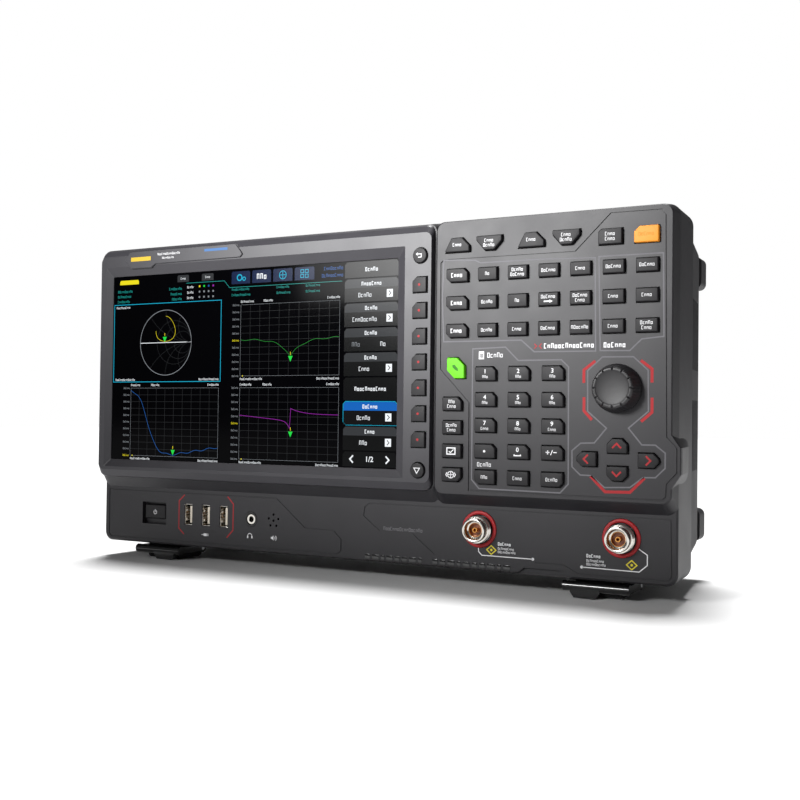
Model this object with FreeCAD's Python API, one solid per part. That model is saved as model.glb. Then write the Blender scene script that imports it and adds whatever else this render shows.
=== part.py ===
import FreeCAD, Part
import os
from math import cos, radians, sin

# Bench spectrum analyzer: a 10.1 inch touch display beside a key field with a tuning knob, over a
# lower panel with the power button, USB sockets, headphone socket, loudspeaker and two N-type ports.
# Millimetres.  +X is to the right seen from the front, +Y goes to the back, +Z is up.  The origin is
# on the floor under the middle of the casing.

# ---------------------------------------------------------------- driving dimensions
OVERALL_DEPTH = 135.0      # knob face to the rearmost bumper
CASE_WIDTH = 404.0         # across the lower panel
CASE_TOP = 216.0           # top of the front shell just behind the face
CASE_BOTTOM = 11.0         # underside of the front shell at the lower panel
HANDLE_RISE = 8.0          # folded handle above the front shell
KNOB_PROUD = 10.8          # knob face in front of the key field
WALL = 2.5                 # moulded wall
LOWER_SET_BACK = 9.0       # lower panel behind the key field
SHELL_DEPTH = 45.0         # key field to the split between front and rear shells
BUMPER_PROUD = 14.2        # rear bumpers behind the rear panel
CORNER_R = 6.0             # outer corner of the front shell
SIDE_TAPER = 1.0           # the shell narrows by this on each side towards the split

HANDLE_TOP = CASE_TOP + HANDLE_RISE
REAR_PANEL_BACK = OVERALL_DEPTH - KNOB_PROUD - BUMPER_PROUD   # key field to the outside of the rear panel
FACE_Y = -OVERALL_DEPTH / 2 + KNOB_PROUD   # plane of the key field
LOWER_Y = FACE_Y + LOWER_SET_BACK
SPLIT_Y = FACE_Y + SHELL_DEPTH
REAR_Y = FACE_Y + REAR_PANEL_BACK
BACK_Y = OVERALL_DEPTH / 2
HALF_W = CASE_WIDTH / 2

# key field (right) and display side (left)
FIELD_LEFT = 61.0
FIELD_RIGHT = HALF_W - 1.4
FIELD_BOTTOM = 54.8
FIELD_TOP = CASE_TOP - 1.2
EAR_LOW = 63.0             # bulge of the key field's right edge
EAR_HIGH = 92.5
EAR_OUT = FIELD_RIGHT + 4.8

BEZEL_LEFT = -HALF_W + 1.6
BEZEL_RIGHT = 58.3
BEZEL_BOTTOM = 61.3
BEZEL_TOP = 209.6
BEZEL_DEPTH = 4.0
BEZEL_SLOPE = 4.6          # outer slope of the bezel, measured on the face
PANEL_GAP = 0.05           # between flat pieces that are screwed together
GLASS_SET_BACK = 3.0
GLASS_W = 226.5
GLASS_H = 127.4
GLASS_X = -78.0
GLASS_Z = 132.1
GLASS_T = 0.95
GLASS_GAP = 0.2            # glass to its window, each side
PANEL_BACKING_Y = FACE_Y + BEZEL_DEPTH

# keys
KEY_PROUD = 2.5
KEY_TRAVEL = 1.2
KEY_GAP = 0.45             # key to its hole, each side
KEY_FLANGE = 1.0           # flange reaches this far past the cap
KEY_FLANGE_T = 1.0
KEY_REST_GAP = 0.4         # flange behind the panel
KEY_EDGE = 0.45            # chamfer round the front of a cap
KEY_DOME_GAP = 0.3         # flange to dome with the key pressed
SOFT_PROUD = 1.6

COLUMN_PITCH = 18.4
COLUMN_ONE = 95.2
SETUP_ROW_ONE = 182.6
SETUP_PITCH = 16.15
SETUP_KEY = (11.8, 7.4)
BAND_KEY_X = 76.1          # first column, with two cut corners
BAND_KEY = (13.6, 7.8)
SYSTEM_X = (168.9, 187.2)
SYSTEM_KEY = (12.0, 7.4)
NUMBER_X = 94.6
NUMBER_PITCH = (20.2, 14.75)
NUMBER_ROW_ONE = 125.2
NUMBER_KEY = (12.9, 8.0)
SIDE_KEY_X = 73.7
SIDE_KEY_TOP = 107.9
SIDE_KEY_PITCH = 13.67
SIDE_KEY = (12.3, 7.8)
USER_KEY = (75.9, 128.7, 11.0, 12.0)
MODE_X = (75.8, 96.0, 121.3, 142.0)
MODE_Z = 200.3
MODE_KEY = (15.8, 8.3)
AUTO_KEY = (166.9, 199.0, 13.2, 8.6)
PRESET_KEY = (186.7, 199.0, 13.3, 8.8)
SOFT_X = 51.3
SOFT_TOP = 178.5
SOFT_PITCH = 15.3
SOFT_KEY = 9.3
ROUND_KEY_R = 4.6
RETURN_Z = 195.9
PAGE_Z = 68.6

KNOB_X = 171.2
KNOB_Z = 116.6
KNOB_BASE_R = 13.3
KNOB_FACE_R = 11.2
KNOB_FLOAT = 0.6           # knob skirt to the key field
NOTCHES = 12
SHAFT_R = 3.0
RUN = 0.05                 # radial clearance of a running shaft
ARROW_X = KNOB_X + 0.4
ARROW_Z = 78.2
ARROW_REACH = (17.0, 7.45)
ARROW_KEY = (11.3, 7.9)

# lower panel
PORT_X = (87.2, 171.4)
PORT_Z = 35.2
PORT_SHELL_R = 7.94        # 5/8-24 thread outside
PORT_BORE_R = 4.15
PORT_PROUD = 9.5
PORT_RELIEF = 0.8          # end of the thread to the panel
RING_OUT_R = 10.75
RING_IN_R = 8.6
RING_PROUD = 0.8
RING_SUNK = 0.6            # ring let into the lower panel
POWER_X = -156.9
POWER_Z = 31.9
POWER_POCKET = (21.0, 15.0)
POWER_BUTTON = (17.8, 9.4)
POWER_POCKET_DEEP = 4.0
POWER_RISE = 0.9           # button above the middle of its recess
CUP_WALL = 1.5             # wall of the recess
USB_X = -127.2
USB_PITCH = 14.8
USB_Z = 32.5
USB_SLOT = (6.7, 14.3)
USB_COUNT = 3
JACK_X = -75.4
JACK_Z = 32.0
JACK_OUT_R = 5.1
JACK_BORE_R = 1.8
JACK_DEEP = 14.0
SPEAKER_X = -57.6
SPEAKER_Z = 32.1
SPEAKER_RING_R = 3.9
SPEAKER_HOLE_R = 0.8

# feet and legs
FOOT_X = HALF_W - 46.0
FOOT_FRONT = 11.0          # behind the key field
PAD_W = 17.0
PAD_SHIFT = 6.0            # pad towards the middle of the instrument
LEG_W = 38.0
LEG_BAR_R = 2.9
LEG_Z = 6.4
LEG_PIN_R = 1.5
REAR_FOOT_W = 34.0
REAR_FOOT_LONG = 16.0

# handle
HANDLE_X = HALF_W - 62.0   # outside of the handle's arms
HANDLE_ARM = 15.0
HANDLE_T = 8.6
HANDLE_REACH = 54.0
HANDLE_GRIP = 15.0
HANDLE_PIN_R = 2.0
HINGE_BACK = 7.0           # hinge axis behind the split of the shells
MOVE_GAP = 0.6             # between a moving part and what it passes

# rear shell and inside
REAR_INSET = 3.0
REAR_TAPER = 9.0
BUMPER_X = HALF_W - 21.0
BUMPER_W = 22.0
BUMPER_H = 20.0
BUMPER_EDGE = 6.0          # bumper to the upper or lower edge of the rear panel
BOARD_T = 1.6
KEY_BOARD_BACK = 8.2
CHASSIS_BACK = 14.0
CHASSIS_T = 1.5
POST_R = 4.0
SCREW_R = 1.5
SCREW_HEAD_R = 3.0
SCREW_HEAD_T = 2.2
FAN_X = -110.0
FAN_Z = 150.0
FAN_SIZE = 70.0
FAN_T = 20.0
FAN_HUB_R = 16.0
FAN_BLADES = 7
INLET_X = 140.0
INLET_Z = 40.0
BNC_R = 4.85
BNC_X = (-20.0, 5.0, 30.0, 55.0)
BNC_Z = 60.0

os.makedirs("parts", exist_ok=True)


# ---------------------------------------------------------------- helpers
def vec(x, y, z):
    return FreeCAD.Vector(x, y, z)


def box(x0, x1, y0, y1, z0, z1):
    return Part.makeBox(x1 - x0, y1 - y0, z1 - z0, vec(x0, y0, z0))


def cyl_y(x, z, r, y0, y1):
    return Part.makeCylinder(r, y1 - y0, vec(x, y0, z), vec(0, 1, 0))


def cyl_x(x0, x1, y, z, r):
    return Part.makeCylinder(r, x1 - x0, vec(x0, y, z), vec(1, 0, 0))


def prism(points, y0, y1):
    """Straight prism along Y over (x, z) corner points."""
    corners = [vec(x, y0, z) for x, z in points]
    face = Part.Face(Part.makePolygon(corners + corners[:1]))
    return face.extrude(vec(0, y1 - y0, 0))


def edges_along_y(shape):
    found = []
    for edge in shape.Edges:
        a = edge.Vertexes[0].Point
        b = edge.Vertexes[-1].Point
        if abs(a.x - b.x) < 1e-6 and abs(a.z - b.z) < 1e-6:
            found.append(edge)
    return found


def edges_on_y(shape, y):
    """Edges that lie in the plane at y."""
    return [e for e in shape.Edges if abs(e.BoundBox.YMin - y) < 1e-6 and abs(e.BoundBox.YMax - y) < 1e-6]


def round_rect_wire(x0, x1, z0, z1, r, y):
    """Rounded rectangle in the plane at y, as four lines and four arcs."""
    d = r * (1 - cos(radians(45)))
    corners = [
        ((x0 + r, z0), (x1 - r, z0), (x1 - d, z0 + d)),
        ((x1, z0 + r), (x1, z1 - r), (x1 - d, z1 - d)),
        ((x1 - r, z1), (x0 + r, z1), (x0 + d, z1 - d)),
        ((x0, z1 - r), (x0, z0 + r), (x0 + d, z0 + d)),
    ]
    edges = []
    for k, (start, end, mid) in enumerate(corners):
        following = corners[(k + 1) % 4][0]
        a, b = vec(start[0], y, start[1]), vec(end[0], y, end[1])
        c, m = vec(following[0], y, following[1]), vec(mid[0], y, mid[1])
        edges.append(Part.makeLine(a, b))
        edges.append(Part.Arc(b, m, c).toShape())
    return Part.Wire(edges)


def loft(wires):
    return Part.makeLoft(wires, True, True)


def layered(sections):
    """Solid through rounded rectangles given as (y, x0, x1, z0, z1, r)."""
    return loft([round_rect_wire(x0, x1, z0, z1, r, y) for y, x0, x1, z0, z1, r in sections])


def layered_polygon(sections):
    """Solid through polygons given as (y, points)."""
    wires = []
    for y, points in sections:
        corners = [vec(x, y, z) for x, z in points]
        wires.append(Part.makePolygon(corners + corners[:1]))
    return loft(wires)


def groove(points, width, y, deep, closed=True):
    """Cutter for a shallow groove that follows (x, z) points on the plane at y."""
    cutter = []
    ends = list(zip(points, points[1:] + points[:1])) if closed else list(zip(points, points[1:]))
    for (ax, az), (bx, bz) in ends:
        run = vec(bx - ax, 0, bz - az)
        side = vec(run.z, 0, -run.x).normalize() * (width / 2)
        a, b = vec(ax, y - 1, az), vec(bx, y - 1, bz)
        corners = [a + side, b + side, b - side, a - side, a + side]
        cutter.append(Part.Face(Part.makePolygon(corners)).extrude(vec(0, deep + 1, 0)))
        cutter.append(cyl_y(bx, bz, width / 2, y - 1, y + deep))
    return cutter


def fused(shapes):
    shapes = list(shapes)
    return shapes[0].fuse(shapes[1:]).removeSplitter() if len(shapes) > 1 else shapes[0]


def cut_all(shape, cutters):
    return shape.cut(Part.makeCompound(list(cutters)))


def save(node, solids):
    """Write one node; several separate solids may share it."""
    solids = solids if isinstance(solids, list) else [solids]
    kept = []
    for shape in solids:
        if not shape.isValid() or not shape.Solids:
            raise ValueError(node + " has a broken solid")
        kept.extend(shape.Solids)
    shape = kept[0] if len(kept) == 1 else Part.makeCompound(kept)
    shape.exportStep("parts/" + node + ".step")
    print(node, len(kept), "solid(s)", round(shape.Volume / 1000, 2), "cm3")


# ---------------------------------------------------------------- keys
def rect_points(x, z, w, h, cuts=(0, 0, 0, 0)):
    """Corners of a key; cuts are the chamfers at top left, top right, bottom right, bottom left."""
    tl, tr, br, bl = cuts
    x0, x1, z0, z1 = x - w / 2, x + w / 2, z - h / 2, z + h / 2
    ring = [(x0, z1 - tl), (x0 + tl, z1), (x1 - tr, z1), (x1, z1 - tr)]
    ring += [(x1, z0 + br), (x1 - br, z0), (x0 + bl, z0), (x0, z0 + bl)]
    return [p for k, p in enumerate(ring) if p != ring[k - 1]]


def mode_points(x, z, flip):
    """Trapezoid with a sloped left side and a small cut at the other corner."""
    w, h = MODE_KEY
    upright = [(-0.5, -0.5), (-0.22, 0.5), (0.2, 0.5), (0.5, -0.08), (0.5, -0.5)]
    turned = [(-0.5, 0.5), (-0.5, 0.2), (-0.18, -0.5), (0.2, -0.5), (0.5, 0.12), (0.5, 0.5)]
    return [(x + dx * w, z + dz * h) for dx, dz in (turned if flip else upright)]


def grown(points, by):
    """The same outline moved outwards by a margin, corners kept sharp."""
    wire = Part.makePolygon([vec(x, 0, z) for x, z in points + points[:1]])
    bigger = Part.Face(wire).makeOffset2D(by, 2)
    return [(v.Point.x, v.Point.z) for v in bigger.OuterWire.OrderedVertexes]


class Key:
    """One key: a cap through the panel, a flange behind it and the hole that it passes."""

    def __init__(self, points, proud=KEY_PROUD, panel_back=FACE_Y + WALL):
        self.points = points
        self.front = FACE_Y - proud
        self.flange_y = panel_back + KEY_REST_GAP

    def solid(self):
        cap = prism(self.points, self.front, self.flange_y)
        cap = cap.makeFillet(0.7, edges_along_y(cap))
        cap = cap.makeChamfer(KEY_EDGE, edges_on_y(cap, self.front))
        flange = prism(grown(self.points, KEY_FLANGE), self.flange_y, self.flange_y + KEY_FLANGE_T)
        return fused([cap, flange])

    def hole(self):
        return prism(grown(self.points, KEY_GAP), FACE_Y - 5, self.flange_y + 0.2)

    def centre(self):
        xs = [p[0] for p in self.points]
        zs = [p[1] for p in self.points]
        return (min(xs) + max(xs)) / 2, (min(zs) + max(zs)) / 2


class RoundKey(Key):
    """A round key."""

    def __init__(self, x, z, r, proud, panel_back):
        super().__init__([(x - r, z - r), (x + r, z + r)], proud, panel_back)
        self.x, self.z, self.r = x, z, r

    def solid(self):
        cap = cyl_y(self.x, self.z, self.r, self.front, self.flange_y)
        cap = cap.makeChamfer(KEY_EDGE, edges_on_y(cap, self.front))
        flange = cyl_y(self.x, self.z, self.r + KEY_FLANGE, self.flange_y, self.flange_y + KEY_FLANGE_T)
        return fused([cap, flange])

    def hole(self):
        return cyl_y(self.x, self.z, self.r + KEY_GAP, FACE_Y - 5, self.flange_y + 0.2)


def arrow_points(dx, dz):
    w, h = ARROW_KEY
    cut = 2.9
    cuts = {
        (0, 1): (cut, cut, 0, 0), (0, -1): (0, 0, cut, cut),
        (-1, 0): (cut, 0, 0, cut), (1, 0): (0, cut, cut, 0),
    }[(dx, dz)]
    return rect_points(ARROW_X + dx * ARROW_REACH[0], ARROW_Z + dz * ARROW_REACH[1], w, h, cuts)


def setup_row(row):
    z = SETUP_ROW_ONE - row * SETUP_PITCH
    band = rect_points(BAND_KEY_X, z, *BAND_KEY, (0, 2.4, 0, 2.4))
    rest = [rect_points(COLUMN_ONE + k * COLUMN_PITCH, z, *SETUP_KEY) for k in range(4)]
    return [Key(p) for p in [band] + rest]


def number_row(row):
    z = NUMBER_ROW_ONE - row * NUMBER_PITCH[1]
    keys = []
    for column in range(3):
        cuts = (0, 0, 0, 0)
        if row < 4:
            cuts = (0, 2.2, 0, 0)
        elif column == 0:
            cuts = (0, 0, 0, 2.2)
        elif column == 2:
            cuts = (0, 0, 2.2, 0)
        keys.append(Key(rect_points(NUMBER_X + column * NUMBER_PITCH[0], z, *NUMBER_KEY, cuts)))
    return keys


def side_keys():
    keys = []
    for k in range(4):
        cuts = {0: (0, 2.4, 0, 0), 3: (0, 0, 2.4, 0)}.get(k, (0, 0, 0, 0))
        keys.append(Key(rect_points(SIDE_KEY_X, SIDE_KEY_TOP - k * SIDE_KEY_PITCH, *SIDE_KEY, cuts)))
    return keys


field_keys = {}
for row_index in range(3):
    field_keys["measure_keys_row_%d" % (row_index + 1)] = setup_row(row_index)
for row_index in range(3):
    row_z = SETUP_ROW_ONE - row_index * SETUP_PITCH
    field_keys["system_keys_row_%d" % (row_index + 1)] = [
        Key(rect_points(x, row_z, *SYSTEM_KEY)) for x in SYSTEM_X]
for row_index in range(5):
    field_keys["number_keys_row_%d" % (row_index + 1)] = number_row(row_index)
field_keys["side_keys"] = side_keys()
field_keys["mode_keys"] = [Key(mode_points(x, MODE_Z, k % 2 == 1)) for k, x in enumerate(MODE_X)]
field_keys["mode_keys"].append(Key(rect_points(*AUTO_KEY, (1.6, 0, 0, 0))))
field_keys["preset_key"] = [Key(rect_points(*PRESET_KEY, (3.0, 0, 0, 0)))]
field_keys["user_key"] = [Key(rect_points(*USER_KEY, (0, 4.6, 0, 4.6)))]
for arrow_name, direction in (("up", (0, 1)), ("down", (0, -1)), ("left", (-1, 0)), ("right", (1, 0))):
    field_keys[arrow_name + "_arrow_key"] = [Key(arrow_points(*direction))]

soft_keys = {}
SOFT_PANEL_BACK = FACE_Y + BEZEL_DEPTH
for key_index in range(7):
    soft_points = rect_points(SOFT_X, SOFT_TOP - key_index * SOFT_PITCH, SOFT_KEY, SOFT_KEY, (2.6, 0, 0, 0))
    soft_keys["soft_key_%d" % (key_index + 1)] = [Key(soft_points, SOFT_PROUD, SOFT_PANEL_BACK)]
soft_keys["return_key"] = [RoundKey(SOFT_X, RETURN_Z, ROUND_KEY_R, SOFT_PROUD, SOFT_PANEL_BACK)]
soft_keys["page_key"] = [RoundKey(SOFT_X - 0.2, PAGE_Z, ROUND_KEY_R, SOFT_PROUD, SOFT_PANEL_BACK)]

for node, keys in list(field_keys.items()) + list(soft_keys.items()):
    save(node, [key.solid() for key in keys])


# ---------------------------------------------------------------- front shell
def case_section(y, inset):
    """Outer section of the front shell at depth y; it tapers towards the split."""
    t = (y - LOWER_Y) / (SPLIT_Y - LOWER_Y)
    x = HALF_W - SIDE_TAPER * t - inset
    return (y, -x, x, CASE_BOTTOM - 1.0 * t + inset, CASE_TOP + 1.4 * t - inset, CORNER_R + 2 * t)


def front_body():
    base = layered([case_section(LOWER_Y, 1.1), case_section(LOWER_Y + 1.2, 0), case_section(SPLIT_Y, 0)])
    field = layered([
        (FACE_Y, FIELD_LEFT + 1.4, FIELD_RIGHT - 0.6, FIELD_BOTTOM + 0.9, FIELD_TOP - 0.6, 5.0),
        (FACE_Y + 0.9, FIELD_LEFT + 0.6, FIELD_RIGHT, FIELD_BOTTOM, FIELD_TOP, 5.2),
        (LOWER_Y + 0.6, FIELD_LEFT - 2.0, HALF_W, FIELD_BOTTOM - 6.4, CASE_TOP, 6.0),
        (LOWER_Y + 3.0, FIELD_LEFT - 2.0, HALF_W, FIELD_BOTTOM - 6.4, CASE_TOP, 6.0),
    ])
    backing = layered([
        (PANEL_BACKING_Y, -HALF_W + 1.2, FIELD_LEFT - 1.0, FIELD_BOTTOM + 1.4, CASE_TOP - 1.2, 5.0),
        (LOWER_Y + 0.6, -HALF_W, FIELD_LEFT + 1.0, FIELD_BOTTOM - 6.4, CASE_TOP, 6.0),
        (LOWER_Y + 3.0, -HALF_W, FIELD_LEFT + 1.0, FIELD_BOTTOM - 6.4, CASE_TOP, 6.0),
    ])
    return fused([base, field, backing, ear()])


def ear():
    """Bulge of the field's right edge, which dies away along the side wall."""
    rise = EAR_OUT - FIELD_RIGHT
    inner = FIELD_RIGHT - 12

    def outline(out, spread):
        return [(inner, EAR_LOW - spread), (FIELD_RIGHT - 0.5, EAR_LOW - spread),
                (FIELD_RIGHT + out, EAR_LOW + rise * 1.7), (FIELD_RIGHT + out, EAR_HIGH - rise * 1.5),
                (FIELD_RIGHT - 0.5, EAR_HIGH + spread), (inner, EAR_HIGH + spread)]
    return layered_polygon([
        (FACE_Y, outline(rise - 0.6, -0.5)), (FACE_Y + 0.9, outline(rise, 0)),
        (FACE_Y + 4.0, outline(rise, 0)), (SPLIT_Y - 4.0, outline(0.0, 6.0))])


def front_inside():
    """Room inside the front shell."""
    y0 = LOWER_Y + WALL
    low, high = case_section(LOWER_Y + WALL, WALL), case_section(SPLIT_Y + 1, WALL)
    main = layered([low, high])
    field = box(FIELD_LEFT + 2.6, FIELD_RIGHT - 3.0, FACE_Y + WALL, y0 + 1,
                FIELD_BOTTOM + 2.6, FIELD_TOP - 3.0)
    display = box(-HALF_W + 4.0, FIELD_LEFT - 1.0, PANEL_BACKING_Y + WALL, y0 + 1,
                  FIELD_BOTTOM + 4.0, CASE_TOP - 4.0)
    return [main, field, display]


FIELD_LINE = [(66.7, 192.1), (146.7, 192.0), (166.7, 211.7), (194.4, 211.5), (196.8, 209.2), (198.0, 91.0),
              (203.4, 85.4), (203.4, 71.8), (198.0, 66.1), (197.8, 59.3), (195.6, 57.4), (84.1, 58.1),
              (83.9, 109.0), (65.4, 128.4), (64.9, 190.4)]
STEP_LINE = [(-197.6, 47.0), (-55.1, 46.6), (-33.2, 28.9), (-12.0, 28.6), (-6.4, 23.4), (-6.4, 16.0),
             (-9.0, 14.0), (-195.6, 14.0), (-197.6, 16.0)]
BADGE_LINE_TOP = [(198.4, 46.8), (14.0, 46.8), (10.4, 44.6), (9.6, 38.9), (20.9, 30.4)]
BADGE_LINE_LOW = [(43.7, 29.9), (58.3, 18.7)]
CORNER_LINE = [(198.4, 46.8), (199.0, 16.0), (197.0, 14.0), (147.2, 14.0), (139.0, 18.4), (122.0, 18.4)]


def panel_cutters():
    """Everything cut out of the front shell."""
    cutters = []
    for keys in field_keys.values():
        cutters += [key.hole() for key in keys]
    soft_slot = SOFT_KEY / 2 + KEY_FLANGE + MOVE_GAP
    cutters.append(box(SOFT_X - soft_slot, SOFT_X + soft_slot, PANEL_BACKING_Y - 1, LOWER_Y + WALL + 1,
                       PAGE_Z - soft_slot, RETURN_Z + soft_slot))
    cutters.append(box(GLASS_X - GLASS_W / 2 + 1.0, GLASS_X + GLASS_W / 2 - 1.0, FACE_Y, LOWER_Y + WALL + 1,
                       GLASS_Z - GLASS_H / 2 + 1.0, GLASS_Z + GLASS_H / 2 - 1.0))
    cutters.append(cyl_y(KNOB_X, KNOB_Z, 4.6, FACE_Y - 1, FACE_Y + WALL + 1))
    for x in PORT_X:
        cutters.append(cyl_y(x, PORT_Z, PORT_SHELL_R + 0.1, LOWER_Y - 1, LOWER_Y + WALL + 1))
        cutters.append(cyl_y(x, PORT_Z, RING_OUT_R + 0.15, LOWER_Y - 1, LOWER_Y + RING_SUNK))
    for k in range(USB_COUNT):
        w, h = USB_SLOT
        x = USB_X + k * USB_PITCH
        cutters.append(box(x - w / 2, x + w / 2, LOWER_Y - 1, LOWER_Y + WALL + 1,
                           USB_Z - h / 2, USB_Z + h / 2))
    cutters.append(cyl_y(JACK_X, JACK_Z, JACK_OUT_R, LOWER_Y - 1, LOWER_Y + WALL + 1))
    cutters += speaker_holes()
    cutters += groove(FIELD_LINE, 0.9, FACE_Y, 0.6)
    cutters += groove(STEP_LINE, 0.7, LOWER_Y, 0.45)
    cutters += groove(BADGE_LINE_TOP, 0.6, LOWER_Y, 0.4, closed=False)
    cutters += groove(BADGE_LINE_LOW, 0.6, LOWER_Y, 0.4, closed=False)
    cutters += groove(CORNER_LINE, 0.7, LOWER_Y, 0.45, closed=False)
    cutters.append(bottom_notch())
    return cutters


def speaker_holes():
    holes = [cyl_y(SPEAKER_X, SPEAKER_Z, SPEAKER_HOLE_R, LOWER_Y - 1, LOWER_Y + WALL + 1)]
    for k in range(5):
        a = radians(90 + 72 * k)
        holes.append(cyl_y(SPEAKER_X + SPEAKER_RING_R * cos(a), SPEAKER_Z + SPEAKER_RING_R * sin(a),
                           SPEAKER_HOLE_R, LOWER_Y - 1, LOWER_Y + WALL + 1))
    return holes


def bottom_notch():
    """Shallow recess in the lower edge between the badge and the right foot."""
    top = CASE_BOTTOM + 4.0
    points = [(109.0, CASE_BOTTOM - 3), (109.6, CASE_BOTTOM), (115.0, top), (137.0, top),
              (143.0, CASE_BOTTOM + 0.6), (144.0, CASE_BOTTOM - 3)]
    return prism(points, LOWER_Y - 1, LOWER_Y + 2.0)


def power_pocket():
    """Recess cup for the power button: outer block and the room inside it."""
    w, h = POWER_POCKET
    x0, x1, z0, z1 = POWER_X - w / 2, POWER_X + w / 2, POWER_Z - h / 2, POWER_Z + h / 2
    cup = box(x0 - CUP_WALL, x1 + CUP_WALL, LOWER_Y + 0.5, LOWER_Y + POWER_POCKET_DEEP + CUP_WALL,
              z0 - CUP_WALL, z1 + CUP_WALL)
    room = box(x0, x1, LOWER_Y - 1, LOWER_Y + POWER_POCKET_DEEP, z0, z1)
    bw, bh = POWER_BUTTON
    hole = box(POWER_X - bw / 2 - KEY_GAP, POWER_X + bw / 2 + KEY_GAP, LOWER_Y, LOWER_Y + 9,
               POWER_Z + POWER_RISE - bh / 2 - KEY_GAP, POWER_Z + POWER_RISE + bh / 2 + KEY_GAP)
    return cup, [room, hole]


def front_casing():
    shell = cut_all(front_body(), front_inside())
    cup, cup_room = power_pocket()
    shell = shell.fuse(cup)
    return cut_all(shell, panel_cutters() + cup_room)


CASE_OUTSIDE = front_body()
save("front_casing", front_casing())


def display_bezel():
    body = layered([
        (FACE_Y, BEZEL_LEFT, BEZEL_RIGHT, BEZEL_BOTTOM, BEZEL_TOP, 4.0),
        (FACE_Y + 2.2, BEZEL_LEFT - 0.6, BEZEL_RIGHT + 0.5,
         BEZEL_BOTTOM - BEZEL_SLOPE, BEZEL_TOP + 3.8, 5.0),
        (FACE_Y + BEZEL_DEPTH - PANEL_GAP, BEZEL_LEFT - 1.0, BEZEL_RIGHT + 0.8,
         BEZEL_BOTTOM - 5.0, BEZEL_TOP + 5.0, 5.0),
    ])
    x0, x1 = GLASS_X - GLASS_W / 2, GLASS_X + GLASS_W / 2
    z0, z1 = GLASS_Z - GLASS_H / 2, GLASS_Z + GLASS_H / 2
    slope = layered([
        (FACE_Y - 0.5, x0 - 5.6, x1 + 6.8, z0 - 6.0, z1 + 7.6, 0.8),
        (FACE_Y + GLASS_SET_BACK - 0.6, x0, x1, z0, z1, 0.5),
        (FACE_Y + BEZEL_DEPTH + 1, x0, x1, z0, z1, 0.5),
    ])
    cutters = [slope]
    for keys in soft_keys.values():
        cutters += [key.hole() for key in keys]
    return cut_all(body, cutters)


BEZEL = display_bezel()
save("display_bezel", BEZEL)

glass_y = FACE_Y + GLASS_SET_BACK
save("touch_glass", box(
    GLASS_X - GLASS_W / 2 + GLASS_GAP, GLASS_X + GLASS_W / 2 - GLASS_GAP, glass_y, glass_y + GLASS_T,
    GLASS_Z - GLASS_H / 2 + GLASS_GAP, GLASS_Z + GLASS_H / 2 - GLASS_GAP))
panel_y = glass_y + GLASS_T
save("lcd_panel", box(GLASS_X - GLASS_W / 2 + 1.4, GLASS_X + GLASS_W / 2 - 1.4, panel_y, panel_y + 5.6,
                      GLASS_Z - GLASS_H / 2 + 1.4, GLASS_Z + GLASS_H / 2 - 1.4))


def nameplate():
    """Blank raised badge that straddles the top edge of the bezel."""
    points = [(-178.5, 206.6), (-173.6, 212.0), (-83.9, 212.0), (-78.2, 205.0), (-80.2, 202.9),
              (-151.4, 202.6), (-154.8, 200.2), (-173.0, 200.2)]
    plate = prism(points, FACE_Y - 0.9, FACE_Y + 3.5)
    plate = plate.makeFillet(0.8, edges_along_y(plate))
    plate = plate.makeChamfer(0.4, edges_on_y(plate, FACE_Y - 0.9))
    return plate.cut(BEZEL)


save("nameplate", max(nameplate().Solids, key=lambda s: s.Volume))


# ---------------------------------------------------------------- lower panel pieces
def tube_y(x, z, r_out, r_in, y0, y1):
    return cyl_y(x, z, r_out, y0, y1).cut(cyl_y(x, z, r_in, y0 - 1, y1 + 1))


def port_shell(x):
    """N-type jack: barrel the size of its thread, a relief behind it and an open front."""
    front = LOWER_Y - PORT_PROUD
    barrel = cyl_y(x, PORT_Z, PORT_SHELL_R, front, LOWER_Y - PORT_RELIEF)
    barrel = barrel.makeChamfer(0.7, edges_on_y(barrel, front)[:1])
    relief = cyl_y(x, PORT_Z, PORT_SHELL_R - 0.6, LOWER_Y - PORT_RELIEF, LOWER_Y + WALL)
    flange = cyl_y(x, PORT_Z, PORT_SHELL_R + 2.6, LOWER_Y + WALL, LOWER_Y + WALL + 2.0)
    tail = cyl_y(x, PORT_Z, 5.0, LOWER_Y + WALL + 2.0, LOWER_Y + WALL + 7.0)
    bore = cyl_y(x, PORT_Z, PORT_BORE_R, front - 1, LOWER_Y + WALL + 6.0)
    mouth = Part.makeCone(PORT_BORE_R + 2.0, PORT_BORE_R, 1.2, vec(x, front - 0.01, PORT_Z), vec(0, 1, 0))
    return fused([barrel, relief, flange, tail]).cut(bore).cut(mouth)


def port_core(x):
    """Insulator with the centre contact, which is a small open tube."""
    front = LOWER_Y - PORT_PROUD
    insulator = cyl_y(x, PORT_Z, PORT_BORE_R - 0.02, front + 6.2, LOWER_Y + WALL + 5.8)
    contact = tube_y(x, PORT_Z, 1.55, 0.85, front + 2.4, front + 6.2)
    return fused([insulator, contact])


save("port_shells", [port_shell(x) for x in PORT_X])
save("port_cores", [port_core(x) for x in PORT_X])
save("port_rings", [tube_y(x, PORT_Z, RING_OUT_R, RING_IN_R, LOWER_Y - RING_PROUD, LOWER_Y + RING_SUNK)
                    for x in PORT_X])


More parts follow.
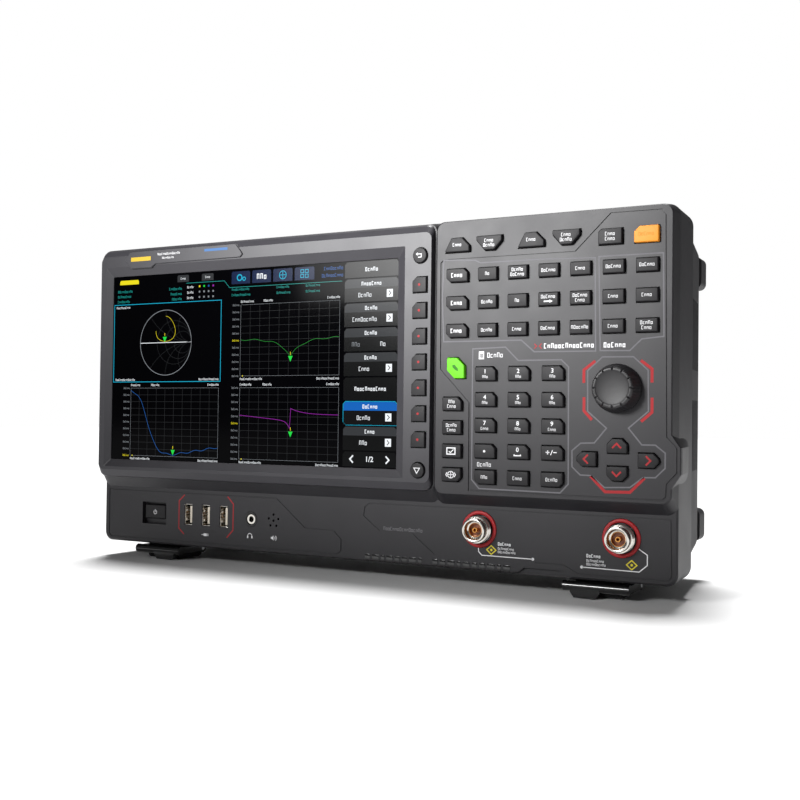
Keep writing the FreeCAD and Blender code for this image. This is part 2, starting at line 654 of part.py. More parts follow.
def usb_socket(x):
    """Upright type A socket: a folded metal shell with its tongue and back."""
    w, h = USB_SLOT[0] - 0.3, USB_SLOT[1] - 0.3
    t = 0.4
    y0, y1 = LOWER_Y + 0.6, LOWER_Y + 15.0
    shell = box(x - w / 2, x + w / 2, y0, y1, USB_Z - h / 2, USB_Z + h / 2)
    shell = shell.cut(box(x - w / 2 + t, x + w / 2 - t, y0 - 1, y1 - 2.5,
                          USB_Z - h / 2 + t, USB_Z + h / 2 - t))
    tongue = box(x + 0.4, x + 2.3, y0 + 1.0, y1 - 2.0, USB_Z - h / 2 + 1.2, USB_Z + h / 2 - 1.2)
    return fused([shell, tongue])


save("usb_sockets", [usb_socket(USB_X + k * USB_PITCH) for k in range(USB_COUNT)])

jack_front = LOWER_Y - 0.3
jack = fused([
    tube_y(JACK_X, JACK_Z, JACK_OUT_R - 0.1, JACK_BORE_R, jack_front, LOWER_Y + WALL + 0.5),
    tube_y(JACK_X, JACK_Z, 6.2, JACK_BORE_R, LOWER_Y + WALL, LOWER_Y + JACK_DEEP)])
jack = jack.cut(tube_y(JACK_X, JACK_Z, 4.2, 2.9, jack_front - 1, jack_front + 0.8))
save("headphone_jack", jack)

speaker_y = LOWER_Y + WALL + 0.2
cone = Part.makeCone(7.0, 3.5, 4.0, vec(SPEAKER_X, speaker_y + 0.6, SPEAKER_Z), vec(0, 1, 0))
speaker_body = cyl_y(SPEAKER_X, SPEAKER_Z, 8.6, speaker_y, speaker_y + 7.5).cut(cone)
speaker_body = speaker_body.cut(cyl_y(SPEAKER_X, SPEAKER_Z, 7.0, speaker_y - 1, speaker_y + 0.61))
save("speaker", speaker_body)


def power_button():
    """Rectangular cap in the recess; a flange behind the recess floor holds it in."""
    w, h = POWER_BUTTON
    z = POWER_Z + POWER_RISE
    flange_y = LOWER_Y + POWER_POCKET_DEEP + CUP_WALL + KEY_REST_GAP
    cap = box(POWER_X - w / 2, POWER_X + w / 2, LOWER_Y + 1.0, flange_y, z - h / 2, z + h / 2)
    cap = cap.makeFillet(0.8, edges_along_y(cap))
    cap = cap.makeChamfer(0.5, edges_on_y(cap, LOWER_Y + 1.0))
    flange = box(POWER_X - w / 2 - KEY_FLANGE, POWER_X + w / 2 + KEY_FLANGE, flange_y, flange_y + 1.2,
                 z - h / 2 - KEY_FLANGE, z + h / 2 + KEY_FLANGE)
    return fused([cap, flange])


save("power_button", power_button())


# ---------------------------------------------------------------- tuning knob and encoder
def tuning_knob():
    """Tapered knob with a dished face, rim notches and its shaft."""
    back, front = FACE_Y - KNOB_FLOAT, FACE_Y - KNOB_PROUD
    skirt = cyl_y(KNOB_X, KNOB_Z, KNOB_BASE_R, back - 2.6, back)
    skirt = skirt.makeFillet(0.7, edges_on_y(skirt, back - 2.6)[:1])
    grip = Part.makeCone(KNOB_BASE_R - 0.5, KNOB_FACE_R, KNOB_PROUD - KNOB_FLOAT - 2.4,
                         vec(KNOB_X, back - 2.4, KNOB_Z), vec(0, -1, 0))
    grip = grip.makeChamfer(0.7, edges_on_y(grip, front)[:1])
    knob = fused([skirt, grip])
    dish_r = 42.0
    dish = Part.makeSphere(dish_r, vec(KNOB_X, front - dish_r + 1.1, KNOB_Z))
    knob = knob.cut(dish.common(cyl_y(KNOB_X, KNOB_Z, KNOB_FACE_R - 1.6, front - 2, front + 3)))
    for k in range(NOTCHES):
        a = radians(360 / NOTCHES * (k + 0.5))
        r = KNOB_FACE_R - 1.5
        knob = knob.cut(cyl_y(KNOB_X + (r + 0.9) * cos(a), KNOB_Z + (r + 0.9) * sin(a), 0.75,
                              front - 1, front + 0.9))
    shaft = cyl_y(KNOB_X, KNOB_Z, SHAFT_R, back - 1, FACE_Y + 6.0)
    return fused([knob, shaft])


save("tuning_knob", tuning_knob())

encoder = fused([
    tube_y(KNOB_X, KNOB_Z, 4.4, SHAFT_R + RUN, FACE_Y + 0.2, FACE_Y + WALL + 0.3),
    box(KNOB_X - 7, KNOB_X + 7, FACE_Y + WALL + 0.2, FACE_Y + KEY_BOARD_BACK - 0.1,
        KNOB_Z - 7, KNOB_Z + 7)])
encoder = encoder.cut(cyl_y(KNOB_X, KNOB_Z, SHAFT_R + RUN, FACE_Y, FACE_Y + 6.3))
save("knob_encoder", encoder)

# ---------------------------------------------------------------- key mat and key board
FLANGE_BACK = FACE_Y + WALL + KEY_REST_GAP + KEY_FLANGE_T
DOME_TIP = FLANGE_BACK + KEY_TRAVEL + KEY_DOME_GAP
MAT_Y = FACE_Y + KEY_BOARD_BACK - 1.0
field_x0, field_x1 = FIELD_LEFT + 3.2, FIELD_RIGHT - 3.6
field_z0, field_z1 = FIELD_BOTTOM + 3.4, FIELD_TOP - 3.8


def key_mat():
    sheet = box(field_x0, field_x1, MAT_Y, FACE_Y + KEY_BOARD_BACK, field_z0, field_z1)
    domes = []
    for keys in field_keys.values():
        for key in keys:
            x, z = key.centre()
            foot = vec(x, MAT_Y + 0.05, z)
            domes.append(Part.makeCone(3.0, 2.2, foot.y - DOME_TIP, foot, vec(0, -1, 0)))
    window = box(KNOB_X - 8, KNOB_X + 8, MAT_Y - 1, MAT_Y + 3, KNOB_Z - 8, KNOB_Z + 8)
    return fused([sheet] + domes).cut(window)


save("key_mat", key_mat())
board_y = FACE_Y + KEY_BOARD_BACK
soft_board_y = SOFT_PANEL_BACK + KEY_REST_GAP + KEY_FLANGE_T + KEY_TRAVEL + KEY_DOME_GAP
save("key_boards", [
    box(field_x0, field_x1, board_y, board_y + BOARD_T, field_z0, field_z1),
    box(SOFT_X - 5.6, SOFT_X + 5.6, soft_board_y, soft_board_y + BOARD_T,
        PAGE_Z - 5.4, RETURN_Z + 5.4)])

# ---------------------------------------------------------------- chassis, boards and modules
REAR_LOW = CASE_BOTTOM - 1.0 + REAR_TAPER
REAR_HIGH = CASE_TOP + 1.4 - REAR_TAPER
POST_X = (-BUMPER_X, -2.0, BUMPER_X)
POST_Z = (REAR_LOW + BUMPER_EDGE + BUMPER_H / 2, REAR_HIGH - BUMPER_EDGE - BUMPER_H / 2)
POSTS = [(x, z) for x in POST_X for z in POST_Z]
chassis_y = FACE_Y + CHASSIS_BACK
rear_inside = REAR_Y - WALL


def front_chassis():
    """Sheet plate behind the display and the key board, with standoffs to the rear panel."""
    half = BUMPER_X + 13.0
    plate = box(-half, half, chassis_y, chassis_y + CHASSIS_T, 52, CASE_TOP - 9.0)
    plate = plate.cut(box(-150, -20, chassis_y - 1, chassis_y + CHASSIS_T + 1, 90, 170))
    plate = plate.cut(box(80, 170, chassis_y - 1, chassis_y + CHASSIS_T + 1, 70, 200))
    tabs = [box(x - 3, x + 8, chassis_y, chassis_y + CHASSIS_T, 20, 52.5) for x in POST_X[1:]]
    tabs.append(box(POST_X[0] - 8, POST_X[0] + 3, chassis_y, chassis_y + CHASSIS_T, 20, 52.5))
    posts = [cyl_y(x, z, POST_R, chassis_y + 0.5, rear_inside) for x, z in POSTS]
    whole = fused([plate] + tabs + posts)
    holes = [cyl_y(x, z, SCREW_R, rear_inside - 10, rear_inside + 1) for x, z in POSTS]
    return cut_all(whole, holes)


save("front_chassis", front_chassis())

main_y = chassis_y + 10.0


def main_board():
    """Main board with its larger chips, held off the chassis by spacers."""
    pieces = [box(-170, -12, main_y, main_y + BOARD_T, 62, 188)]
    for x, z, w, h, t in ((-140, 150, 27, 27, 2.4), (-95, 150, 35, 35, 2.8), (-60, 100, 18, 12, 1.4),
                          (-85, 100, 18, 12, 1.4), (-145, 95, 22, 22, 2.0), (-35, 130, 14, 24, 8.0)):
        pieces.append(box(x - w / 2, x + w / 2, main_y + BOARD_T - 0.1, main_y + BOARD_T + t,
                          z - h / 2, z + h / 2))
    for x in (-165, -17):
        for z in (67, 183):
            pieces.append(cyl_y(x, z, 3, chassis_y + CHASSIS_T, main_y + 0.1))
    return fused(pieces)


save("main_board", main_board())


def heat_sink():
    """Finned block on the main processor."""
    base_y = main_y + BOARD_T + 2.8
    pieces = [box(-115, -75, base_y, base_y + 3, 130, 170)]
    for k in range(9):
        x = -115 + k * (40 - 1.2) / 8
        pieces.append(box(x, x + 1.2, base_y + 2.9, base_y + 18, 130, 170))
    return fused(pieces)


save("heat_sink", heat_sink())

module_y = LOWER_Y + WALL + 7.2
save("rf_module", fused([
    box(64, 175, module_y, module_y + 34, 20, 46),
    box(80, 140, module_y + 8, module_y + 34, 45, 51),
    box(60, 160, module_y + 8, module_y + 44, 50, 170)]))


def power_supply():
    """Open steel tray with its circuit board and the tall parts on it."""
    y0, y1 = module_y + 30, module_y + 72
    tray = box(-165, -30, y0, y1, 34, 88).cut(box(-163, -32, y0 + 2, y1 - 2, 36, 89))
    load = [box(-164, -31, y0 + 1, y1 - 1, 35, 40)]
    load += [box(-150, -118, y0 + 8, y1 - 8, 39, 70), box(-95, -75, y0 + 8, y1 - 10, 39, 66)]
    load += [Part.makeCylinder(8, 36, vec(x, (y0 + y1) / 2, 39)) for x in (-62, -44)]
    return fused([tray] + load)


save("power_supply", power_supply())


# ---------------------------------------------------------------- rear shell
def rear_section(back, inset, corner):
    """Outer section of the rear shell, measured in from the front shell's rear edge."""
    _, x0, x1, z0, z1, _ = case_section(SPLIT_Y, inset)
    return (FACE_Y + back, x0, x1, z0, z1, corner)


def rear_outside():
    return layered([rear_section(SHELL_DEPTH, 1.2, 7), rear_section(SHELL_DEPTH + 4, REAR_INSET + 0.6, 8),
                    rear_section(REAR_PANEL_BACK - 8, REAR_TAPER, 9),
                    rear_section(REAR_PANEL_BACK, REAR_TAPER + 3, 10)])


def rear_inside_room():
    return layered([rear_section(SHELL_DEPTH - 1, 1.2 + WALL, 5),
                    rear_section(SHELL_DEPTH + 4, REAR_INSET + 0.6 + WALL, 6),
                    rear_section(REAR_PANEL_BACK - 8, REAR_TAPER + WALL, 7),
                    rear_section(REAR_PANEL_BACK - WALL, REAR_TAPER + 2.2 + WALL, 8)])


HINGE_Y = SPLIT_Y + HINGE_BACK
HINGE_Z = HANDLE_TOP - HANDLE_T / 2
LUG_W = 9.0
BNC_HOLE_R = BNC_R + 0.1
LAN = (92.0, 60.0, 16.0, 13.6)
USB_B = (114.0, 60.0, 12.4, 11.2)
VIDEO = (92.0, 84.0, 15.4, 6.0)
INLET_BODY = (27.0, 20.0)
INLET_FLANGE = (46.0, 24.0)


def bumpers():
    """Four blocks at the rear corners; the instrument can stand on them."""
    blocks = []
    for x in (-BUMPER_X, BUMPER_X):
        for z in POST_Z:
            block = box(x - BUMPER_W / 2, x + BUMPER_W / 2, REAR_Y - 1.0, BACK_Y,
                        z - BUMPER_H / 2, z + BUMPER_H / 2)
            block = block.makeFillet(4.0, edges_along_y(block))
            block = block.makeChamfer(1.5, edges_on_y(block, BACK_Y))
            blocks.append(block.cut(cyl_y(x, z, SCREW_HEAD_R + 0.6, REAR_Y, BACK_Y + 1)))
    return blocks


def handle_lugs():
    """Two bearing lugs on the top for the handle, outside its arms."""
    lugs = []
    for sx in (-1, 1):
        x = sx * (HANDLE_X + MOVE_GAP + LUG_W / 2)
        block = box(x - LUG_W / 2, x + LUG_W / 2, HINGE_Y - HANDLE_T / 2, HINGE_Y + HANDLE_T / 2,
                    HINGE_Z - 9, HINGE_Z)
        lugs.append(block.fuse(cyl_x(x - LUG_W / 2, x + LUG_W / 2, HINGE_Y, HINGE_Z, HANDLE_T / 2)))
    return lugs


def vents():
    """Fan grille in the rear panel, and rows of slots in both sides and the underside."""
    cuts = []
    slots = [box(FAN_X - 40, FAN_X + 40, REAR_Y - WALL - 1, REAR_Y + 2, z, z + 3.2)
             for z in [FAN_Z - 31 + 5.6 * k for k in range(12)]]
    disc = cyl_y(FAN_X, FAN_Z, 31.0, REAR_Y - WALL - 1, REAR_Y + 2)
    hub = cyl_y(FAN_X, FAN_Z, 9.0, REAR_Y - WALL - 2, REAR_Y + 3)
    spoke = box(FAN_X - 1.5, FAN_X + 1.5, REAR_Y - WALL - 2, REAR_Y + 3, FAN_Z - 40, FAN_Z + 40)
    cuts.append(Part.makeCompound(slots).common(disc).cut(hub.fuse(spoke)))
    for sx in (-1, 1):
        for row in range(2):
            for k in range(9):
                y = FACE_Y + 58 + 5.0 * k
                z = 70 + 60 * row
                cuts.append(box(min(sx * 180, sx * 205), max(sx * 180, sx * 205), y, y + 2.4, z, z + 42))
    for k in range(18):
        x = -85 + 10 * k
        cuts.append(box(x, x + 4, FACE_Y + 66, FACE_Y + 96, 0, 26))
    return cuts


def rear_cover():
    shell = rear_outside().cut(rear_inside_room())
    shell = shell.fuse(bumpers() + [lug.cut(rear_inside_room()) for lug in handle_lugs()])
    cuts = vents()
    for x in BNC_X:
        cuts.append(cyl_y(x, BNC_Z, BNC_HOLE_R, REAR_Y - WALL - 1, REAR_Y + 1))
    for x, z, w, h in (LAN, USB_B, VIDEO):
        cuts.append(box(x - w / 2 - 0.2, x + w / 2 + 0.2, REAR_Y - WALL - 1, REAR_Y + 1,
                        z - h / 2 - 0.2, z + h / 2 + 0.2))
    iw, ih = INLET_BODY
    cuts.append(box(INLET_X - iw / 2 - 0.2, INLET_X + iw / 2 + 0.2, REAR_Y - WALL - 1, REAR_Y + 1,
                    INLET_Z - ih / 2 - 0.2, INLET_Z + ih / 2 + 0.2))
    for x, z in POSTS:
        cuts.append(cyl_y(x, z, SCREW_R + 0.1, REAR_Y - WALL - 1, REAR_Y + 1))
    for sx in (-1, 1):
        x = sx * (HANDLE_X + MOVE_GAP)
        cuts.append(cyl_x(min(x - 1, x + sx * (LUG_W + 2)), max(x + 1, x + sx * (LUG_W + 2)),
                          HINGE_Y, HINGE_Z, HANDLE_PIN_R))
    return cut_all(shell.removeSplitter(), cuts)


save("rear_cover", rear_cover())


# ---------------------------------------------------------------- fan
fan_y0 = rear_inside - FAN_T
FAN_BORE_R = FAN_SIZE / 2 - 3.0
FAN_SHAFT_R = 1.5


def fan_frame():
    """Square frame with a round duct, four struts, and the bearing tube in the middle."""
    h = FAN_SIZE / 2
    frame = box(FAN_X - h, FAN_X + h, fan_y0, rear_inside, FAN_Z - h, FAN_Z + h)
    frame = frame.cut(cyl_y(FAN_X, FAN_Z, FAN_BORE_R, fan_y0 - 1, rear_inside + 1))
    hub = cyl_y(FAN_X, FAN_Z, FAN_HUB_R - 1, rear_inside - 3, rear_inside)
    struts = box(FAN_X - h + 1, FAN_X + h - 1, rear_inside - 3, rear_inside, FAN_Z - 1.5, FAN_Z + 1.5)
    struts = struts.fuse(box(FAN_X - 1.5, FAN_X + 1.5, rear_inside - 3, rear_inside,
                             FAN_Z - h + 1, FAN_Z + h - 1))
    tube = cyl_y(FAN_X, FAN_Z, 3.6, fan_y0 + 4.5, rear_inside - 2)
    whole = fused([frame, hub, struts, tube])
    return whole.cut(cyl_y(FAN_X, FAN_Z, FAN_SHAFT_R + RUN, fan_y0, rear_inside - 2))


def fan_rotor():
    """Cup-shaped hub with pitched blades and the shaft."""
    y0, y1 = fan_y0 + 1.0, rear_inside - 3.8
    cup = cyl_y(FAN_X, FAN_Z, FAN_HUB_R, y0, y1).cut(cyl_y(FAN_X, FAN_Z, FAN_HUB_R - 1.6, y0 + 2.0, y1 + 1))
    shaft = cyl_y(FAN_X, FAN_Z, FAN_SHAFT_R, y0 + 1, rear_inside - 2.6)
    blades = []
    for k in range(FAN_BLADES):
        blade = Part.makeBox(FAN_BORE_R, 1.3, 15.0, vec(FAN_HUB_R - 0.8, -0.65, -7.5))
        blade.rotate(vec(0, 0, 0), vec(1, 0, 0), 52)
        blade.rotate(vec(0, 0, 0), vec(0, 1, 0), 360 / FAN_BLADES * k)
        blade.translate(vec(FAN_X, (y0 + y1) / 2, FAN_Z))
        blades.append(blade)
    limit = cyl_y(FAN_X, FAN_Z, FAN_BORE_R - 0.8, y0 + 0.3, y1 - 0.3)
    return fused([cup, shaft] + [blade.common(limit) for blade in blades])


save("fan_frame", fan_frame())
save("fan_rotor", fan_rotor())


# ---------------------------------------------------------------- carry handle
def upright_edges(shape):
    """Upright edges of the bail's outline behind the hinge."""
    return [e for e in shape.Edges
            if e.BoundBox.ZLength > HANDLE_T - 0.1 and e.BoundBox.YMin > HINGE_Y + 1]


def carry_handle():
    """Bail folded back on the top: two arms with round ends and a grip across them."""
    z0, z1 = HANDLE_TOP - HANDLE_T, HANDLE_TOP
    y1 = HINGE_Y + HANDLE_REACH
    outer = box(-HANDLE_X, HANDLE_X, HINGE_Y, y1, z0, z1)
    outer = outer.makeFillet(16.0, upright_edges(outer))
    inner = box(-HANDLE_X + HANDLE_ARM, HANDLE_X - HANDLE_ARM, HINGE_Y - 20, y1 - HANDLE_GRIP,
                z0 - 1, z1 + 1)
    inner = inner.makeFillet(6.0, upright_edges(inner))
    ends = [cyl_x(x, x + HANDLE_ARM, HINGE_Y, HINGE_Z, HANDLE_T / 2)
            for x in (-HANDLE_X, HANDLE_X - HANDLE_ARM)]
    bail = fused([outer.cut(inner)] + ends)
    rim = [e for e in bail.Edges if e.BoundBox.ZLength < 1e-6 and e.BoundBox.YMin > HINGE_Y + 1]
    bail = bail.makeFillet(2.2, rim)
    bores = [cyl_x(sx * HANDLE_X - 14, sx * HANDLE_X + 14, HINGE_Y, HINGE_Z, HANDLE_PIN_R + RUN)
             for sx in (-1, 1)]
    return cut_all(bail, bores)


save("carry_handle", carry_handle())


# ---------------------------------------------------------------- legs and feet
LEG_BAR_Y = FACE_Y + FOOT_FRONT + LEG_BAR_R
LEG_PIVOT_Y = LEG_BAR_Y + 24.0
LEG_ARM = 5.0
FOOT_BLOCK_FRONT = LEG_BAR_Y + LEG_BAR_R + 1.8


def leg(sx):
    """Fold-out leg: front bar with a rubber pad, and two arms to the pivot."""
    x = sx * FOOT_X
    bar = cyl_x(x - LEG_W / 2, x + LEG_W / 2, LEG_BAR_Y, LEG_Z, LEG_BAR_R)
    pad_x = x - sx * PAD_SHIFT
    pad_points = [(pad_x - PAD_W / 2, 3.2), (pad_x + PAD_W / 2, 3.2), (pad_x + PAD_W / 2, 6.5),
                  (pad_x - PAD_W / 2, 6.5)]
    pad = prism(pad_points, LEG_BAR_Y - LEG_BAR_R + 0.4, LEG_BAR_Y + LEG_BAR_R)
    foot_points = [(pad_x - PAD_W / 2 + 2.2, 0.3), (pad_x + PAD_W / 2 - 2.2, 0.3), (pad_x + PAD_W / 2, 3.3),
                   (pad_x - PAD_W / 2, 3.3)]
    foot = prism(foot_points, LEG_BAR_Y - LEG_BAR_R + 0.4, LEG_BAR_Y + LEG_BAR_R)
    pieces = [bar, pad, foot]
    for side in (-1, 1):
        arm_x = x + side * (LEG_W / 2 - LEG_ARM / 2)
        pieces.append(box(arm_x - LEG_ARM / 2, arm_x + LEG_ARM / 2, LEG_BAR_Y, LEG_PIVOT_Y,
                          LEG_Z - 2.2, LEG_Z + 2.2))
        pieces.append(cyl_x(arm_x - LEG_ARM / 2, arm_x + LEG_ARM / 2, LEG_PIVOT_Y, LEG_Z, 3.0))
    whole = fused(pieces)
    return whole.cut(cyl_x(x - LEG_W, x + LEG_W, LEG_PIVOT_Y, LEG_Z, LEG_PIN_R + RUN))


def foot_block(sx):
    """Fixed front foot between the arms of its leg; it carries the instrument."""
    x = sx * FOOT_X
    w = LEG_W / 2 - LEG_ARM - MOVE_GAP
    block = box(x - w, x + w, FOOT_BLOCK_FRONT, LEG_PIVOT_Y + 5.0, 0, CASE_BOTTOM + 3)
    block = block.makeChamfer(1.2, [e for e in block.Edges if abs(e.BoundBox.ZMax) < 1e-6])
    block = block.cut(CASE_OUTSIDE)
    return block.cut(cyl_x(x - w - 1, x + w + 1, LEG_PIVOT_Y, LEG_Z, LEG_PIN_R))


def rear_foot(sx):
    x = sx * (FOOT_X - 4)
    block = box(x - REAR_FOOT_W / 2, x + REAR_FOOT_W / 2, FACE_Y + 86, FACE_Y + 86 + REAR_FOOT_LONG, 0, 30)
    block = block.makeChamfer(1.5, [e for e in block.Edges if abs(e.BoundBox.ZMax) < 1e-6])
    lower = block.cut(rear_outside())
    return min(lower.Solids, key=lambda s: s.BoundBox.ZMin)


save("leg_left", leg(-1))
save("leg_right", leg(1))
save("foot_blocks", [foot_block(-1), foot_block(1), rear_foot(-1), rear_foot(1)])

pins = []
for side in (-1, 1):
    x0 = side * (HANDLE_X - 10)
    x1 = side * (HANDLE_X + MOVE_GAP + LUG_W)
    pins.append(cyl_x(min(x0, x1), max(x0, x1), HINGE_Y, HINGE_Z, HANDLE_PIN_R))
    pins.append(cyl_x(side * FOOT_X - LEG_W / 2, side * FOOT_X + LEG_W / 2, LEG_PIVOT_Y, LEG_Z, LEG_PIN_R))
save("hinge_pins", pins)


# ---------------------------------------------------------------- rear connectors
def bnc(x):
    """Bayonet coaxial jack with its nut."""
    body = cyl_y(x, BNC_Z, BNC_R, rear_inside - 1, REAR_Y + 11)
    hexagon = [(x + 7.4 * cos(radians(60 * k)), BNC_Z + 7.4 * sin(radians(60 * k))) for k in range(6)]
    nut = prism(hexagon, REAR_Y, REAR_Y + 2.2)
    back = box(x - 7, x + 7, rear_inside - 9, rear_inside, BNC_Z - 7, BNC_Z + 7)
    bore = cyl_y(x, BNC_Z, 3.6, REAR_Y + 2, REAR_Y + 12)
    contact = tube_y(x, BNC_Z, 1.3, 0.7, REAR_Y + 1, REAR_Y + 8)
    return fused([fused([body, nut, back]).cut(bore), contact])


def port_box(spec, lining):
    """Rectangular socket: a metal shell with an open mouth."""
    x, z, w, h = spec
    shell = box(x - w / 2, x + w / 2, rear_inside - 14, REAR_Y + 0.8, z - h / 2, z + h / 2)
    return shell.cut(box(x - w / 2 + lining, x + w / 2 - lining, rear_inside - 10, REAR_Y + 2,
                         z - h / 2 + lining, z + h / 2 - lining))


def with_tongue(socket, spec, w, h):
    x, z = spec[:2]
    return socket.fuse(box(x - w / 2, x + w / 2, rear_inside - 10.5, REAR_Y - 2, z - h / 2, z + h / 2))


rear_jacks = [bnc(x) for x in BNC_X]
rear_jacks.append(port_box(LAN, 1.2))
rear_jacks.append(with_tongue(port_box(USB_B, 1.2), USB_B, 5.6, 3.2))
rear_jacks.append(with_tongue(port_box(VIDEO, 0.7), VIDEO, 11.0, 1.3))
save("rear_connectors", rear_jacks)


def mains_inlet():
    """Mains inlet with a flange, a deep mouth and three blades."""
    iw, ih = INLET_BODY
    fw, fh = INLET_FLANGE
    body = box(INLET_X - iw / 2, INLET_X + iw / 2, REAR_Y - 22, REAR_Y + 0.1,
               INLET_Z - ih / 2, INLET_Z + ih / 2)
    flange = box(INLET_X - fw / 2, INLET_X + fw / 2, REAR_Y, REAR_Y + 2.4,
                 INLET_Z - fh / 2, INLET_Z + fh / 2)
    flange = flange.makeFillet(3.0, edges_along_y(flange))
    mouth = box(INLET_X - 12.2, INLET_X + 12.2, REAR_Y - 15, REAR_Y + 3, INLET_Z - 8.4, INLET_Z + 8.4)
    blades = [box(INLET_X + dx - 1, INLET_X + dx + 1, REAR_Y - 15.5, REAR_Y - 4.5,
                  INLET_Z + dz - 2, INLET_Z + dz + 2)
              for dx, dz in ((-7, -1.5), (0, 2.5), (7, -1.5))]
    return fused([fused([body, flange]).cut(mouth)] + blades)


save("mains_inlet", mains_inlet())


def case_screw(x, z):
    shank = cyl_y(x, z, SCREW_R - 0.05, rear_inside - 9, REAR_Y + 0.1)
    head = cyl_y(x, z, SCREW_HEAD_R, REAR_Y, REAR_Y + SCREW_HEAD_T)
    head = head.makeFillet(0.9, edges_on_y(head, REAR_Y + SCREW_HEAD_T)[:1])
    slots = [box(x - 1.8, x + 1.8, REAR_Y + 1.1, REAR_Y + 4, z - 0.35, z + 0.35),
             box(x - 0.35, x + 0.35, REAR_Y + 1.1, REAR_Y + 4, z - 1.8, z + 1.8)]
    return cut_all(fused([shank, head]), slots)


save("case_screws", [case_screw(x, z) for x, z in POSTS])
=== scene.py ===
from math import cos, exp, pi, radians, sin

import bmesh
import bpy
from bpy.props import FloatProperty, FloatVectorProperty, PointerProperty
from mathutils import Matrix, Vector


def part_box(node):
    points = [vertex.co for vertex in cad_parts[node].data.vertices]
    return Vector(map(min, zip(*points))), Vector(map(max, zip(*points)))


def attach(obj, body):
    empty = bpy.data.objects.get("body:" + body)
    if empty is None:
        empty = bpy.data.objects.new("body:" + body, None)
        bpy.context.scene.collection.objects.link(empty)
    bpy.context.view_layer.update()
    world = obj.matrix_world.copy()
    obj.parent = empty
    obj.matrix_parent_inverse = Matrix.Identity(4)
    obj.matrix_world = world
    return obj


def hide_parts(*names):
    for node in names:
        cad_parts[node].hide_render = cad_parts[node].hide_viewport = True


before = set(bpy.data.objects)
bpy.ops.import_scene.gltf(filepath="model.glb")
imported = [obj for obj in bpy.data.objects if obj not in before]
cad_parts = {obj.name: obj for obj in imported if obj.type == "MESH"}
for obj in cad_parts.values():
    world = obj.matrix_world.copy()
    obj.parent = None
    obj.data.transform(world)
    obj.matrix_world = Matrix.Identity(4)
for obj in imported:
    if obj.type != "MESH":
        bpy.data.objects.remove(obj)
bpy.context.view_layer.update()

bl_info = {
    "name": "Bench spectrum analyzer",
    "version": (1, 0, 0),
    "blender": (4, 5, 0),
    "location": "View3D > Sidebar > Analyzer",
    "description": "Builds the finished surfaces of a bench spectrum analyzer round its fixed frame",
    "category": "Object",
}

MM = 0.001
BODY = "instrument"


def linear(code):
    """An sRGB hex colour as linear red, green and blue."""
    shares = [int(code[k:k + 2], 16) / 255 for k in (1, 3, 5)]
    return [s / 12.92 if s <= 0.04045 else ((s + 0.055) / 1.055) ** 2.4 for s in shares]


# ---------------------------------------------------------------- sizes and colours a user would change
def length(name, description, default):
    """A size in millimetres, kept in metres."""
    return FloatProperty(name=name, description=description, default=default * MM, min=0.0, unit="LENGTH")


def colour(name, description, code):
    return FloatVectorProperty(name=name, description=description, default=linear(code), size=3,
                               min=0.0, max=1.0, subtype="COLOR")


class AnalyzerSizes(bpy.types.PropertyGroup):
    key_edge: length("Key edge", "Roll of the edge round the front of a key cap", 0.75)
    outline: length("Outline", "Width of the printed outlines round the key groups", 0.75)
    accent: length("Accent", "Width of the red accents beside the tuning knob", 1.6)
    legend: length("Legend", "Height of the capitals on the keys", 2.3)
    print_lift: length("Print lift", "How far the printing stands off its surface", 0.03)
    thread_pitch: length("Thread pitch", "Pitch of the thread on the measuring ports", 1.06)
    thread_depth: length("Thread depth", "Depth of the thread on the measuring ports", 0.5)
    knob_dish: length("Knob dish", "Depth of the dished face of the tuning knob", 1.0)
    knob_notch: length("Knob notch", "Depth of the notches in the rim of the tuning knob", 0.6)


class AnalyzerColours(bpy.types.PropertyGroup):
    casing: colour("Casing", "Charcoal of the front and rear shells", "#232225")
    bezel: colour("Bezel", "Painted frame round the display", "#2f2e32")
    key: colour("Keys", "Key caps and tuning knob", "#1a191b")
    orange: colour("Orange key", "Preset key", "#d6862c")
    green: colour("Green key", "User key", "#5fbe1c")
    accent: colour("Accent", "Red accents and arrows", "#98262a")
    ring: colour("Port rings", "Rings round the measuring ports", "#9a1e22")
    legend: colour("Legends", "White printing on keys and panel", "#dcdcde")
    outline: colour("Outlines", "Grey outlines round the key groups", "#626165")
    caution: colour("Caution", "Yellow marks beside the ports", "#cfc032")


def sizes():
    return bpy.context.scene.analyzer_sizes


def colours():
    return bpy.context.scene.analyzer_colours


# ---------------------------------------------------------------- where things are, in millimetres
def middle(node):
    """Centre of a CAD node seen from the front, as (x, z)."""
    low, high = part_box(node)
    return (low.x + high.x) / 2 / MM, (low.z + high.z) / 2 / MM


RING_PROUD = 0.8       # port rings stand this far in front of the lower panel
FACE_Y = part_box("display_bezel")[0].y / MM
LOWER_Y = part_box("port_rings")[0].y / MM + RING_PROUD
GLASS_LOW, GLASS_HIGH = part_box("touch_glass")
KNOB_AT = middle("tuning_knob")


def loose_solids(node):
    """The separate solids of a CAD node, each as a list of points in millimetres."""
    mesh = bmesh.new()
    mesh.from_mesh(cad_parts[node].data)
    bmesh.ops.remove_doubles(mesh, verts=mesh.verts, dist=1e-6)
    reached = set()
    found = []
    for seed in mesh.verts:
        if seed in reached:
            continue
        reached.add(seed)
        group, rim = [seed], [seed]
        while rim:
            vertex = rim.pop()
            for link in vertex.link_edges:
                other = link.other_vert(vertex)
                if other not in reached:
                    reached.add(other)
                    group.append(other)
                    rim.append(other)
        found.append([Vector(v.co) / MM for v in group])
    mesh.free()
    return sorted(found, key=lambda points: (round(min(p.x for p in points), 2), -min(p.z for p in points)))


